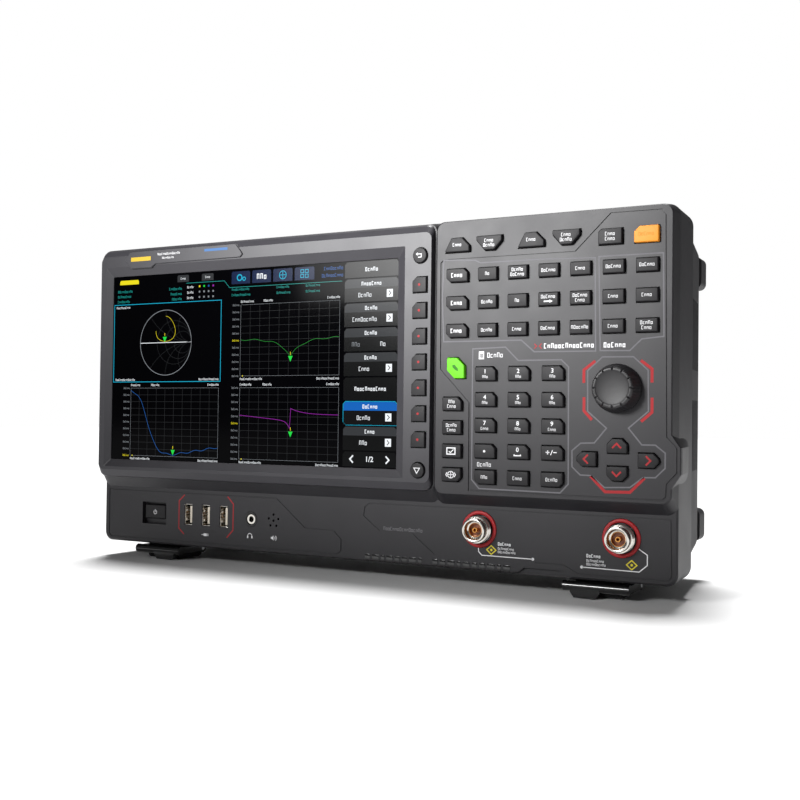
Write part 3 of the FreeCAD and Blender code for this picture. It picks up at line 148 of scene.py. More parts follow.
def solid_middles(node):
    """Centres of the separate solids of a node, as (x, z), left to right."""
    spots = []
    for points in loose_solids(node):
        xs, zs = [p.x for p in points], [p.z for p in points]
        spots.append(((min(xs) + max(xs)) / 2, (min(zs) + max(zs)) / 2))
    return spots


# ---------------------------------------------------------------- materials
def add_node(tree, kind, inputs=None, **settings):
    """Adds one shader node; inputs take a value or another node's output."""
    node = tree.nodes.new("ShaderNode" + kind)
    for name, value in settings.items():
        setattr(node, name, value)
    for name, value in (inputs or {}).items():
        if isinstance(value, bpy.types.NodeSocket):
            tree.links.new(value, node.inputs[name])
        else:
            node.inputs[name].default_value = value
    return node


def per_metre(size_mm):
    """Pattern scale whose features are this many millimetres across."""
    return 1.0 / (size_mm * MM)


def shaded(rgb, by):
    """A colour made lighter or darker by a share."""
    return [min(1.0, c * by) for c in rgb] + [1.0]


def surface(name, rgb, roughness, grain_mm, grain_height_mm, vary=0.08, metallic=0.0, gloss_vary=0.05,
            specular=0.5, coat=0.0, stretch=(1, 1, 1)):
    """A finish from its base colour, with grain of a real size as bump and uneven tone and gloss."""
    if name in bpy.data.materials:
        return bpy.data.materials[name]
    material = bpy.data.materials.new(name)
    material.use_nodes = True
    tree = material.node_tree
    shader = tree.nodes["Principled BSDF"]
    place = add_node(tree, "TexCoord").outputs["Object"]
    if stretch != (1, 1, 1):
        place = add_node(tree, "Mapping", {"Vector": place, "Scale": stretch}).outputs["Vector"]
    fine = add_node(tree, "TexNoise", {"Vector": place, "Scale": per_metre(grain_mm), "Detail": 2.0})
    broad = add_node(tree, "TexNoise", {"Vector": place, "Scale": per_metre(grain_mm * 40), "Detail": 3.0})
    blend = add_node(tree, "Math", {0: fine.outputs["Fac"], 1: broad.outputs["Fac"]}, operation="MULTIPLY")
    tone = add_node(tree, "MapRange", {"Value": blend.outputs[0], "From Min": 0.1, "From Max": 0.4})
    mixed = add_node(tree, "Mix", {"Factor": tone.outputs["Result"]}, data_type="RGBA")
    mixed.inputs[6].default_value = shaded(rgb, 1 - vary)
    mixed.inputs[7].default_value = shaded(rgb, 1 + vary)
    tree.links.new(mixed.outputs[2], shader.inputs["Base Color"])
    gloss = add_node(tree, "MapRange", {"Value": broad.outputs["Fac"], "From Min": 0.3, "From Max": 0.7,
                                        "To Min": roughness - gloss_vary, "To Max": roughness + gloss_vary})
    tree.links.new(gloss.outputs["Result"], shader.inputs["Roughness"])
    if grain_height_mm:
        bump = add_node(tree, "Bump", {"Height": fine.outputs["Fac"], "Strength": 1.0,
                                       "Distance": grain_height_mm * MM})
        tree.links.new(bump.outputs["Normal"], shader.inputs["Normal"])
    shader.inputs["Metallic"].default_value = metallic
    if not metallic:
        shader.inputs["IOR"].default_value = 1.5
        shader.inputs["Specular IOR Level"].default_value = specular
    shader.inputs["Coat Weight"].default_value = coat
    shader.inputs["Coat Roughness"].default_value = 0.1
    return material


def casing_abs():
    """Moulded ABS with a spark-eroded texture: a dry charcoal with a faint sparkle of grain."""
    return surface("charcoal_abs_textured", colours().casing, 0.46, 0.45, 0.035, vary=0.1, gloss_vary=0.02,
                   specular=0.34)


def bezel_paint():
    """ABS under satin grey paint: smoother and lighter than the casing."""
    return surface("grey_satin_paint", colours().bezel, 0.42, 0.5, 0.012, gloss_vary=0.02, specular=0.36)


def rear_abs():
    """Moulded ABS of the rear shell, a coarser texture than the front."""
    return surface("charcoal_abs_rear", colours().casing, 0.6, 0.6, 0.05, vary=0.12, specular=0.4)


def key_silicone():
    """Silicone rubber keys with a matt lacquer: nearly black, soft highlights on the rolled edges."""
    return surface("key_rubber_lacquered", colours().key, 0.5, 0.3, 0.01, gloss_vary=0.02, specular=0.22)


def orange_silicone():
    """Orange lacquered key."""
    return surface("key_rubber_orange", colours().orange, 0.5, 0.3, 0.008, vary=0.04, specular=0.2)


def green_silicone():
    """Yellow-green lacquered key."""
    return surface("key_rubber_green", colours().green, 0.5, 0.3, 0.008, vary=0.04, specular=0.2)


def knob_abs():
    """Knob moulded in ABS with a soft-touch coat: broad dull highlights."""
    return surface("knob_abs_soft_touch", colours().key, 0.44, 0.3, 0.012, gloss_vary=0.02, specular=0.4)


def gloss_abs():
    """Polished black ABS of the fold-out legs: a hard bright streak along the bar."""
    return surface("black_abs_polished", linear("#131314"), 0.16, 0.8, 0.004, coat=0.5)


def matt_black_nylon():
    """Glass-filled nylon of the fan and the sockets: dull black."""
    return surface("black_nylon", linear("#19191a"), 0.6, 0.4, 0.02)


def ivory_nylon():
    """Heat-resistant nylon of the socket tongues: warm off-white."""
    return surface("ivory_nylon", linear("#cfc6b6"), 0.4, 0.4, 0.006)


def foot_rubber():
    """Rubber feet: deep matt black with a slight bloom."""
    return surface("foot_rubber", linear("#1c1c1d"), 0.8, 0.7, 0.04, vary=0.15)


def nickel():
    """Bright nickel plate on turned brass: warm grey mirror, softened by turning marks."""
    return surface("nickel_plate_turned", linear("#d5d1ca"), 0.17, 0.15, 0.002, metallic=1.0, vary=0.03)


def gold():
    """Gold flash on the contacts."""
    return surface("gold_flash", linear("#d99a52"), 0.25, 0.2, 0.002, metallic=1.0, vary=0.04)


def zinc_steel():
    """Zinc-plated sheet steel: cool grey with a rolled grain along its length."""
    return surface("zinc_plated_steel", linear("#b4b6b8"), 0.36, 0.5, 0.006, metallic=1.0,
                   stretch=(0.1, 1, 1))


def aluminium():
    """Milled aluminium housing: pale grey with fine tool marks."""
    return surface("milled_aluminium", linear("#c3c5c8"), 0.32, 0.4, 0.006, metallic=1.0,
                   stretch=(1, 1, 0.12))


def solder_mask():
    """Circuit board under green solder mask: semi-gloss with a woven glass ground."""
    return surface("solder_mask_green", linear("#1f5a30"), 0.3, 0.5, 0.008, vary=0.2)


def silicone_mat():
    """Grey silicone sheet with carbon pills: soft and matt."""
    return surface("silicone_grey", linear("#5b5b5e"), 0.7, 0.5, 0.01)


def ring_nylon():
    """Dyed red nylon rings: satin, a little translucent at the knurl."""
    return surface("red_nylon", colours().ring, 0.45, 0.4, 0.012, vary=0.1, specular=0.3)


def brown_insulator():
    """Polyimide insulator inside the ports: dark amber brown."""
    return surface("amber_insulator", linear("#7a4526"), 0.35, 0.4, 0.006, vary=0.15)


def cover_glass():
    """Chemically hardened cover glass over a black screen: near-black and glossy."""
    return surface("cover_glass_black", linear("#020203"), 0.1, 6.0, 0.0, gloss_vary=0.01, specular=0.03)


def screen_black():
    """Edge of the display panel."""
    return surface("panel_black", linear("#0a0a0b"), 0.3, 1.0, 0.0)


def ink(name, rgb):
    """Pad-printed epoxy ink: flat colour with a slightly uneven edge-to-edge tone."""
    return surface("ink_" + name, rgb, 0.6, 0.5, 0.004, vary=0.04, specular=0.2)


def glow(name, code, strength):
    """Lit parts of the display: they shine by themselves, over a dark glossy ground."""
    if name in bpy.data.materials:
        return bpy.data.materials[name]
    rgb = linear(code)
    material = surface(name, [c * 0.05 for c in rgb], 0.2, 3.0, 0.0, gloss_vary=0.02, specular=0.08)
    shader = material.node_tree.nodes["Principled BSDF"]
    shader.inputs["Emission Color"].default_value = list(rgb) + [1.0]
    shader.inputs["Emission Strength"].default_value = strength
    return material


# ---------------------------------------------------------------- mesh helpers
def finished(mesh, name, materials, body, replaced=(), smooth_angle=35):
    """Turns an edit mesh into a piece of the object that rides on a body."""
    bmesh.ops.recalc_face_normals(mesh, faces=mesh.faces)
    data = bpy.data.meshes.new(name)
    mesh.to_mesh(data)
    mesh.free()
    for polygon in data.polygons:
        polygon.use_smooth = True
    data.set_sharp_from_angle(angle=radians(smooth_angle))
    piece = bpy.data.objects.new(name, data)
    bpy.context.scene.collection.objects.link(piece)
    for material in materials:
        data.materials.append(material)
    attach(piece, body)
    if replaced:
        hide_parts(*replaced)


def outward(points):
    """Mitred outward direction at each corner of a counter-clockwise outline."""
    found = []
    count = len(points)
    for k in range(count):
        before = (points[k] - points[k - 1]).normalized()
        after = (points[(k + 1) % count] - points[k]).normalized()
        a, b = Vector((before.y, -before.x)), Vector((after.y, -after.x))
        mean = (a + b).normalized()
        found.append(mean / max(0.5, mean.dot(a)))
    return found


def stacked(mesh, rings, ink_index=0):
    """Skins a list of rings of points with the same count; the ends are filled."""
    rows = [[mesh.verts.new(Vector(p) * MM) for p in ring] for ring in rings]
    count = len(rows[0])
    made = []
    for low, high in zip(rows, rows[1:]):
        for k in range(count):
            made.append(mesh.faces.new((low[k], low[(k + 1) % count], high[(k + 1) % count], high[k])))
    made.append(mesh.faces.new(rows[0][::-1]))
    made.append(mesh.faces.new(rows[-1]))
    for face in made:
        face.material_index = ink_index


def turned(mesh, x, z, profile, steps=64, ink_index=0, wave=None, loop=False):
    """Body of revolution about the line through (x, z) towards the back; profile is (radius, y).
    wave changes the radius and depth of a profile point with the angle; loop joins the profile's ends."""
    columns = []
    for k in range(steps):
        angle = 2 * pi * k / steps
        column = []
        for r, y in profile:
            if wave:
                r, y = wave(angle, r, y)
            column.append(mesh.verts.new(Vector((x + r * cos(angle), y, z + r * sin(angle))) * MM))
        columns.append(column)
    pairs = len(profile) if loop else len(profile) - 1
    for k in range(steps):
        here, following = columns[k], columns[(k + 1) % steps]
        for i in range(pairs):
            j = (i + 1) % len(profile)
            mesh.faces.new((here[i], here[j], following[j], following[i])).material_index = ink_index
    if not loop:
        mesh.faces.new([c[0] for c in columns]).material_index = ink_index
        mesh.faces.new([c[-1] for c in columns][::-1]).material_index = ink_index


def block(mesh, low, high, edge=0.0, ink_index=0):
    """Box from corner to corner in millimetres with its edges eased."""
    made = bmesh.ops.create_cube(mesh, size=1.0)["verts"]
    centre = (Vector(low) + Vector(high)) / 2
    span = Vector(high) - Vector(low)
    for vertex in made:
        vertex.co = Vector(centre[k] + vertex.co[k] * span[k] for k in range(3)) * MM
    for vertex in made:
        for face in vertex.link_faces:
            face.material_index = ink_index
    if edge:
        edges = list(dict.fromkeys(link for vertex in made for link in vertex.link_edges))
        bmesh.ops.bevel(mesh, geom=edges, offset=edge * MM, segments=2, profile=0.5, affect="EDGES",
                        material=-1)


LAYER = 0.02           # step between two layers of print, so that they don't share a plane


class Marks:
    """Shapes with a little thickness on a plane that faces the front, in millimetres as (x, z)."""

    def __init__(self, y, lift=None, sunk=0.05):
        self.mesh = bmesh.new()
        self.front = y - (sizes().print_lift / MM if lift is None else lift)
        self.back = y + sunk

    def shape(self, outline, ink_index=0):
        """A filled outline."""
        area = sum(a[0] * b[1] - b[0] * a[1] for a, b in zip(outline, outline[1:] + outline[:1]))
        ring = outline if area > 0 else outline[::-1]
        stacked(self.mesh, [[(x, y, z) for x, z in ring] for y in (self.front, self.back)], ink_index)

    def bar(self, x0, z0, x1, z1, ink_index=0):
        self.shape([(x0, z0), (x1, z0), (x1, z1), (x0, z1)], ink_index)

    def disc(self, x, z, r, ink_index=0, steps=20):
        turns = [2 * pi * k / steps for k in range(steps)]
        self.shape([(x + r * cos(turn), z + r * sin(turn)) for turn in turns], ink_index)

    def line(self, points, width, ink_index=0, closed=False):
        """A mitred stroke along a list of points."""
        points = [Vector(p) for p in points]
        count = len(points)
        sides = []
        for k, point in enumerate(points):
            directions = []
            if k > 0 or closed:
                directions.append((point - points[k - 1]).normalized())
            if k < count - 1 or closed:
                directions.append((points[(k + 1) % count] - point).normalized())
            normals = [Vector((-d.y, d.x)) for d in directions]
            mean = sum(normals, Vector((0, 0))).normalized()
            reach = mean * width / 2 / max(0.45, mean.dot(normals[0]))
            sides.append((point + reach, point - reach))
        stations = [[self.mesh.verts.new(Vector((p.x, y, p.y)) * MM)
                     for p, y in ((a, self.front), (b, self.front), (b, self.back), (a, self.back))]
                    for a, b in sides]
        pairs = list(zip(stations, stations[1:]))
        if closed:
            pairs.append((stations[-1], stations[0]))
        else:
            self.mesh.faces.new(stations[0][::-1]).material_index = ink_index
            self.mesh.faces.new(stations[-1]).material_index = ink_index
        for here, following in pairs:
            for k in range(4):
                m = (k + 1) % 4
                face = self.mesh.faces.new((here[k], here[m], following[m], following[k]))
                face.material_index = ink_index

    def ring(self, x, z, r, width, ink_index=0, steps=28, start=0.0, end=360.0):
        """A circle, or part of one from start to end in degrees."""
        whole = end - start >= 360.0
        count = steps if whole else steps + 1
        turns = [radians(start + (end - start) * k / steps) for k in range(count)]
        self.line([(x + r * cos(turn), z + r * sin(turn)) for turn in turns], width, ink_index, closed=whole)

    def word(self, x, z, letters, height, ink_index=0, bold=False, align="middle"):
        """A stand-in for a word: plain upright strokes of letter size that spell nothing."""
        wide, gap = height * 0.52, height * 0.2
        stroke = height * (0.17 if bold else 0.12)
        total = letters * wide + (letters - 1) * gap
        left = x - {"middle": total / 2, "left": 0.0, "right": total}[align]
        for k in range(letters):
            tall = height if k == 0 or (k * 5 + letters) % 4 == 0 else height * 0.72
            a, b = left + stroke / 2, left + wide - stroke / 2
            low, high = z - height / 2 + stroke / 2, z - height / 2 + tall - stroke / 2
            kind = (letters * 3 + k * 2) % 5
            if kind in (0, 3):
                self.line([(a, low), (b, low), (b, high), (a, high)], stroke, ink_index, closed=True)
            elif kind in (1, 4):
                self.line([(a, low), (a, high), (b, high), (b, low)], stroke, ink_index)
            else:
                self.line([(b, high), (a, high), (a, low), (b, low)], stroke, ink_index)
            left += wide + gap

    def figure(self, text, x, z, height, ink_index=0):
        """Numerals in the plain built-in face."""
        curve = bpy.data.curves.new("figure", "FONT")
        curve.body = text
        curve.align_x, curve.align_y = "CENTER", "CENTER"
        curve.size = height / 0.7
        curve.offset = 0.02 * height
        curve.resolution_u = 3
        curve.extrude = (self.back - self.front) / 2
        holder = bpy.data.objects.new("figure", curve)
        data = bpy.data.meshes.new_from_object(holder)
        turn = Matrix.Translation(Vector((x, (self.front + self.back) / 2, z)) * MM)
        turn = turn @ Matrix.Rotation(pi / 2, 4, "X") @ Matrix.Scale(MM, 4)
        data.transform(turn)
        first = len(self.mesh.faces)
        self.mesh.from_mesh(data)
        self.mesh.faces.ensure_lookup_table()
        for face in self.mesh.faces[first:]:
            face.material_index = ink_index
        bpy.data.objects.remove(holder)
        bpy.data.curves.remove(curve)
        bpy.data.meshes.remove(data)


# ---------------------------------------------------------------- key caps and their legends
CAP_CHAMFER = 0.45     # the CAD cap's own chamfer, which the rolled edge takes the place of
CAP_SUNK = 3.6         # depth of a cap, from its front into the panel
ROLL_STEPS = 5
LEGEND = 1             # place of the legend's ink among a key's materials


def cap_outline(points):
    """Outline of the front of a key cap, counter-clockwise, and its depth."""
    front = min(p.y for p in points)
    spots = sorted({(round(p.x, 3), round(p.z, 3)) for p in points if p.y < front + 0.01})
    hull = []
    for run in (spots, spots[::-1]):
        side = []
        for p in run:
            while len(side) > 1 and ((side[-1][0] - side[-2][0]) * (p[1] - side[-2][1])
                                     - (side[-1][1] - side[-2][1]) * (p[0] - side[-2][0])) <= 1e-9:
                side.pop()
            side.append(p)
        hull += side[:-1]
    return [Vector(p) for p in hull], front


def key_cap(mesh, points):
    """A cap with a rolled edge, from the front of its CAD solid back into the panel."""
    outline, front = cap_outline(points)
    away = outward(outline)
    roll = sizes().key_edge / MM
    rings = []
    for k in range(ROLL_STEPS + 1):
        angle = pi / 2 * k / ROLL_STEPS
        reach = CAP_CHAMFER - roll * 0.75 * (1 - sin(angle))
        rings.append((reach, front + roll * (1 - cos(angle))))
    rings.append((CAP_CHAMFER, front + CAP_SUNK))
    stacked(mesh, [[(p.x + n.x * reach, y, p.y + n.y * reach) for p, n in zip(outline, away)]
                   for reach, y in rings])
    xs, zs = [p.x for p in outline], [p.y for p in outline]
    return (min(xs) + max(xs)) / 2, (min(zs) + max(zs)) / 2, front


def words_legend(marks, x, z, lines, bold=False):
    """One or two lines of stand-in words in the middle of a key."""
    h = sizes().legend / MM * (1.12 if bold else 0.86)
    top = z + (len(lines) - 1) * h * 0.68
    for k, letters in enumerate(lines):
        marks.word(x, top - k * h * 1.36, letters, h, LEGEND, bold)


def digit_legend(marks, x, z, text, letters=0):
    """A numeral, with a small stand-in line below it if letters is given."""
    h = sizes().legend / MM
    if letters:
        marks.figure(text, x, z + h * 0.55, h * 1.05, LEGEND)
        marks.word(x, z - h * 0.75, letters, h * 0.72, LEGEND)
    else:
        marks.figure(text, x, z, h * 1.15, LEGEND)


def chevron(marks, x, z, direction, size, width, ink_index):
    """An open arrow head that points along direction."""
    dx, dz = direction
    tip = (x + dx * size * 0.45, z + dz * size * 0.45)
    tails = [(x - dx * size * 0.4 + s * dz * size * 0.85, z - dz * size * 0.4 - s * dx * size * 0.85)
             for s in (-1, 1)]
    marks.line([tails[0], tip, tails[1]], width, ink_index)


def screen_icon(marks, x, z):
    """Screen with a check stroke."""
    marks.line([(x - 2.6, z - 1.8), (x + 2.6, z - 1.8), (x + 2.6, z + 1.8), (x - 2.6, z + 1.8)], 0.65,
               LEGEND, closed=True)
    marks.line([(x - 1.3, z - 0.2), (x - 0.3, z - 0.9), (x + 1.6, z + 0.9)], 0.5, LEGEND)


def globe_icon(marks, x, z):
    """Globe lines between two brackets."""
    marks.ring(x, z, 1.9, 0.45, LEGEND)
    marks.line([(x, z - 1.9), (x, z + 1.9)], 0.4, LEGEND)
    marks.line([(x - 1.9, z), (x + 1.9, z)], 0.4, LEGEND)
    for s in (-1, 1):
        marks.line([(x + s * 2.3, z - 1.3), (x + s * 3.1, z), (x + s * 2.3, z + 1.3)], 0.45, LEGEND)


def leaf_icon(marks, x, z):
    """Open hand reduced to a slanted leaf with a rib."""
    marks.shape([(x - 2.0, z + 1.6), (x - 0.4, z + 1.9), (x + 1.6, z - 0.4), (x + 1.9, z - 1.8),
                 (x + 0.3, z - 1.5), (x - 1.7, z + 0.2)], LEGEND)


def return_icon(marks, x, z):
    """Arrow that turns back on itself."""
    marks.line([(x - 1.7, z + 0.7), (x + 1.2, z + 0.7), (x + 1.2, z - 1.2), (x - 0.9, z - 1.2)], 0.45,
               LEGEND)
    marks.shape([(x - 2.4, z + 0.7), (x - 1.1, z + 1.7), (x - 1.1, z - 0.3)], LEGEND)


def page_icon(marks, x, z):
    """Outlined triangle that points down."""
    marks.line([(x - 1.9, z + 1.3), (x + 1.9, z + 1.3), (x, z - 1.8)], 0.45, LEGEND, closed=True)


def red_dot(marks, x, z):
    """Small red lens in the middle of a soft key."""
    marks.disc(x, z, 0.75, LEGEND)


def arrow_right(marks, x, z):
    """Solid arrow below a stand-in word."""
    h = sizes().legend / MM * 0.86
    marks.word(x, z + h * 0.68, 6, h, LEGEND)
    marks.bar(x - 2.4, z - 1.75, x + 0.9, z - 0.95, LEGEND)
    marks.shape([(x + 0.9, z - 2.3), (x + 2.8, z - 1.35), (x + 0.9, z - 0.4)], LEGEND)


def space_bar(marks, x, z):
    """Zero over a space mark."""
    marks.figure("0", x, z + 1.2, 2.4, LEGEND)
    marks.line([(x - 1.9, z - 1.3), (x - 1.9, z - 2.0), (x + 1.9, z - 2.0), (x + 1.9, z - 1.3)], 0.6, LEGEND)


def sign_legend(marks, x, z):
    """Plus, stroke, minus."""
    marks.line([(x - 3.4, z + 0.3), (x - 1.2, z + 0.3)], 0.55, LEGEND)
    marks.line([(x - 2.3, z + 1.4), (x - 2.3, z - 0.8)], 0.55, LEGEND)
    marks.line([(x - 0.6, z - 1.2), (x + 0.6, z + 1.6)], 0.45, LEGEND)
    marks.line([(x + 1.0, z + 0.3), (x + 3.0, z + 0.3)], 0.55, LEGEND)


def point_legend(marks, x, z):
    """Decimal point."""
    marks.disc(x, z, 0.7, LEGEND)


DIGIT_LETTERS = {"1": 3, "2": 3, "3": 3, "4": 3, "5": 3, "6": 3, "7": 4, "8": 3, "9": 4}
KEY_LEGENDS = {
    "mode_keys": [(4,), (4, 5), (4,), (4, 5), (4, 4)],
    "measure_keys_row_1": ["bold4", (2,), (5, 6), (6,), (4,)],
    "measure_keys_row_2": ["bold4", (5,), (2,), arrow_right, (6, 4)],
    "measure_keys_row_3": ["bold4", (5,), (4,), (6,), (7,)],
    "system_keys_row_1": [(6,), (6,)],
    "system_keys_row_2": [(4,), (4,)],
    "system_keys_row_3": [(4,), (5, 4)],
    "number_keys_row_1": ["1", "2", "3"],
    "number_keys_row_2": ["4", "5", "6"],
    "number_keys_row_3": ["7", "8", "9"],
    "number_keys_row_4": [point_legend, space_bar, sign_legend],
    "number_keys_row_5": [(3,), (4,), (5,)],
    "side_keys": [(3, 4), (5, 4), screen_icon, globe_icon],
    "preset_key": [(6,)],
    "user_key": [leaf_icon],
    "return_key": [return_icon],
    "page_key": [page_icon],
}
ARROWS = {"up": (0, 1), "down": (0, -1), "left": (-1, 0), "right": (1, 0)}


def draw_legend(marks, legend, x, z):
    """A legend is a function that draws it, the lengths of its stand-in words, or a numeral."""
    if callable(legend):
        legend(marks, x, z)
    elif isinstance(legend, tuple):
        words_legend(marks, x, z, legend)
    elif legend.startswith("bold"):
        words_legend(marks, x, z, (int(legend[4:]),), bold=True)
    else:
        digit_legend(marks, x, z, legend, DIGIT_LETTERS.get(legend, 0))


def build_key_group(node, legends, cap, mark_ink):
    """The caps of one CAD node with their legends, as one piece on that node's body."""
    mesh = bmesh.new()
    spots = [key_cap(mesh, points) for points in loose_solids(node)]
    marks = Marks(spots[0][2])
    for legend, (x, z, _) in zip(legends, spots):
        draw_legend(marks, legend, x, z)
    extra = bpy.data.meshes.new("legend")
    marks.mesh.to_mesh(extra)
    marks.mesh.free()
    mesh.from_mesh(extra)
    bpy.data.meshes.remove(extra)
    finished(mesh, node + "_caps", [cap, mark_ink], node, [node], smooth_angle=25)


class ANALYZER_OT_keys(bpy.types.Operator):
    """Key caps with rolled edges and plain legends"""
    bl_idname = "analyzer.keys"
    bl_label = "Keys"

    def execute(self, context):
        white = ink("white", colours().legend)
        for node, legends in KEY_LEGENDS.items():
            cap, mark, slot = key_silicone(), white, "key"
            if node == "preset_key":
                cap, mark, slot = orange_silicone(), ink("dark_orange", linear("#c8741a")), "key_orange"
            elif node == "user_key":
                cap, mark, slot = green_silicone(), ink("dark_green", linear("#2f6a1a")), "key_green"
            build_key_group(node, legends, cap, mark)
        red = ink("red", colours().accent)
        for name, direction in ARROWS.items():
            build_key_group(name + "_arrow_key",
                            [lambda marks, x, z, d=direction: chevron(marks, x, z, d, 2.9, 0.95, LEGEND)],
                            key_silicone(), red)
        for k in range(1, 8):
            build_key_group("soft_key_%d" % k, [red_dot], key_silicone(), red)
        return {"FINISHED"}


# ---------------------------------------------------------------- tuning knob
KNOB_NOTCHES = 12
KNOB_FLUTES = 48
KNOB_STEPS = 240
KNOB_TAPER = 2.1       # the face is this much smaller in radius than the base
FLUTE_DEPTH = 0.16


class ANALYZER_OT_knob(bpy.types.Operator):
    """Tuning knob with a dished face, a notched rim and a fine grip"""
    bl_idname = "analyzer.knob"
    bl_label = "Tuning knob"

    def execute(self, context):
        low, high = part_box("tuning_knob")
        x, z = KNOB_AT
        front = low.y / MM
        base = (high.x - low.x) / 2 / MM
        face = base - KNOB_TAPER
        back = FACE_Y - 0.6
        dish = sizes().knob_dish / MM
        notch = sizes().knob_notch / MM
        profile = [(0.01, front + dish), (face * 0.3, front + dish * 0.93),
                   (face * 0.55, front + dish * 0.72), (face * 0.76, front + dish * 0.36),
                   (face * 0.8, front + dish * 0.25)]
        profile += [(face * 0.83, front + 0.06), (face * 0.87, front), (face - 0.7, front + 0.02),
                    (face - 0.2, front + 0.25), (face + 0.1, front + 0.8)]
        profile += [(face + 0.2 + (base - face - 0.6) * k / 6, front + 1.2 + (back - front - 4.2) * k / 6)
                    for k in range(7)]
        profile += [(base - 0.1, back - 2.4), (base, back - 2.0), (base, back - 0.5), (base - 0.4, back),
                    (2.9, back), (2.9, back + 4.0)]

        def grip(angle, r, y):
            near = (angle * KNOB_NOTCHES / (2 * pi) + 0.5) % 1.0
            off = abs(near - 0.5) / KNOB_NOTCHES * 2 * pi * face
            if off < 0.42 and face * 0.85 < r < face + 0.5 and y < front + 1.6:
                y += notch * (1 - off / 0.6)
            if face + 0.15 < r < base - 0.3 and y > front + 1.0:
                r -= FLUTE_DEPTH * (0.5 + 0.5 * cos(angle * KNOB_FLUTES))
            return r, y

        mesh = bmesh.new()
        turned(mesh, x, z, profile, KNOB_STEPS, wave=grip)
        finished(mesh, "tuning_knob_grip", [knob_abs()], "tuning_knob", ["tuning_knob"], 40)
        return {"FINISHED"}


# ---------------------------------------------------------------- measuring ports
def thread(r, start, end, pitch, depth):
    """Profile of a run of thread as rings of the real pitch."""
    turns = int((end - start) / pitch)
    points = []
    for k in range(turns):
        y = start + k * pitch
        points += [(r - depth, y), (r - depth, y + 0.12 * pitch), (r, y + 0.42 * pitch),
                   (r, y + 0.62 * pitch)]
    return points + [(r - depth, start + turns * pitch)]


PORT_R = 7.94          # N-type barrel, over its thread
RING_TEETH = 72
TOOTH_DEPTH = 0.22
INSULATOR, CONTACT = 0, 1


class ANALYZER_OT_ports(bpy.types.Operator):
    """N-type measuring ports with thread, insulator, contact and red ring"""
    bl_idname = "analyzer.ports"
    bl_label = "Measuring ports"

    def execute(self, context):
        spots = solid_middles("port_rings")
        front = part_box("port_shells")[0].y / MM
        back = LOWER_Y - 0.05
        pitch, depth = sizes().thread_pitch / MM, sizes().thread_depth / MM
        shell = bmesh.new()
        core = bmesh.new()
        for x, z in spots:
            outer = [(5.45, front + 0.5), (5.7, front + 0.15), (6.1, front), (6.5, front + 0.03),
                     (6.85, front + 0.2), (7.05, front + 0.55), (7.1, front + 2.6), (6.5, front + 2.8),
                     (6.5, front + 3.6), (PORT_R - 0.3, front + 3.75)]
            outer += thread(PORT_R, front + 3.9, back - 0.9, pitch, depth)
            outer += [(7.3, back - 0.8), (7.3, back + 2.0)]
            inner = [(4.15, back + 2.0), (4.15, front + 3.2), (4.9, front + 2.9), (5.3, front + 1.4)]
            turned(shell, x, z, outer + inner, 72, loop=True)
            floor_y = front + 6.2
            disc = [(0.01, floor_y + 0.4), (1.5, floor_y + 0.4), (1.6, floor_y), (4.1, floor_y),
                    (4.1, floor_y + 2.0), (0.01, floor_y + 2.0)]
            pin = [(0.85, floor_y + 0.5), (0.85, front + 2.7), (1.0, front + 2.45), (1.4, front + 2.45),
                   (1.55, front + 2.7), (1.55, floor_y + 0.5)]
            sleeve = [(4.13, front + 3.3), (4.13, floor_y + 0.2), (3.95, floor_y + 0.2), (3.95, front + 3.3)]
            turned(core, x, z, disc, 48, INSULATOR)
            turned(core, x, z, pin, 32, CONTACT, loop=True)
            turned(core, x, z, sleeve, 48, CONTACT, loop=True)
        finished(shell, "port_shells_threaded", [nickel()], BODY, ["port_shells"], 30)
        finished(core, "port_contacts", [brown_insulator(), gold()], BODY, ["port_cores"], 30)
        rings = bmesh.new()
        low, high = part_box("port_rings")
        out = (high.z - low.z) / 2 / MM
        top, sunk = low.y / MM, high.y / MM

        def knurl(angle, r, y):
            return (r - TOOTH_DEPTH * (0.5 + 0.5 * cos(angle * RING_TEETH)) if r > out - 0.6 else r), y

        band = [(8.6, sunk), (8.6, top + 0.2), (8.8, top), (out - 0.5, top), (out, top + 0.35), (out, sunk)]
        for x, z in spots:
            turned(rings, x, z, band, RING_TEETH * 4, wave=knurl, loop=True)
        finished(rings, "port_rings_knurled", [ring_nylon()], BODY, ["port_rings"], 50)
        return {"FINISHED"}


# ---------------------------------------------------------------- sockets of the lower panel
USB_HALF, USB_WALL = 3.2, 0.35         # type A socket on its side: half its width, and its sheet
SHELL, NYLON, SPRING, TONGUE = range(4)
SPRINGS, SPRING_PITCH = 4, 2.3


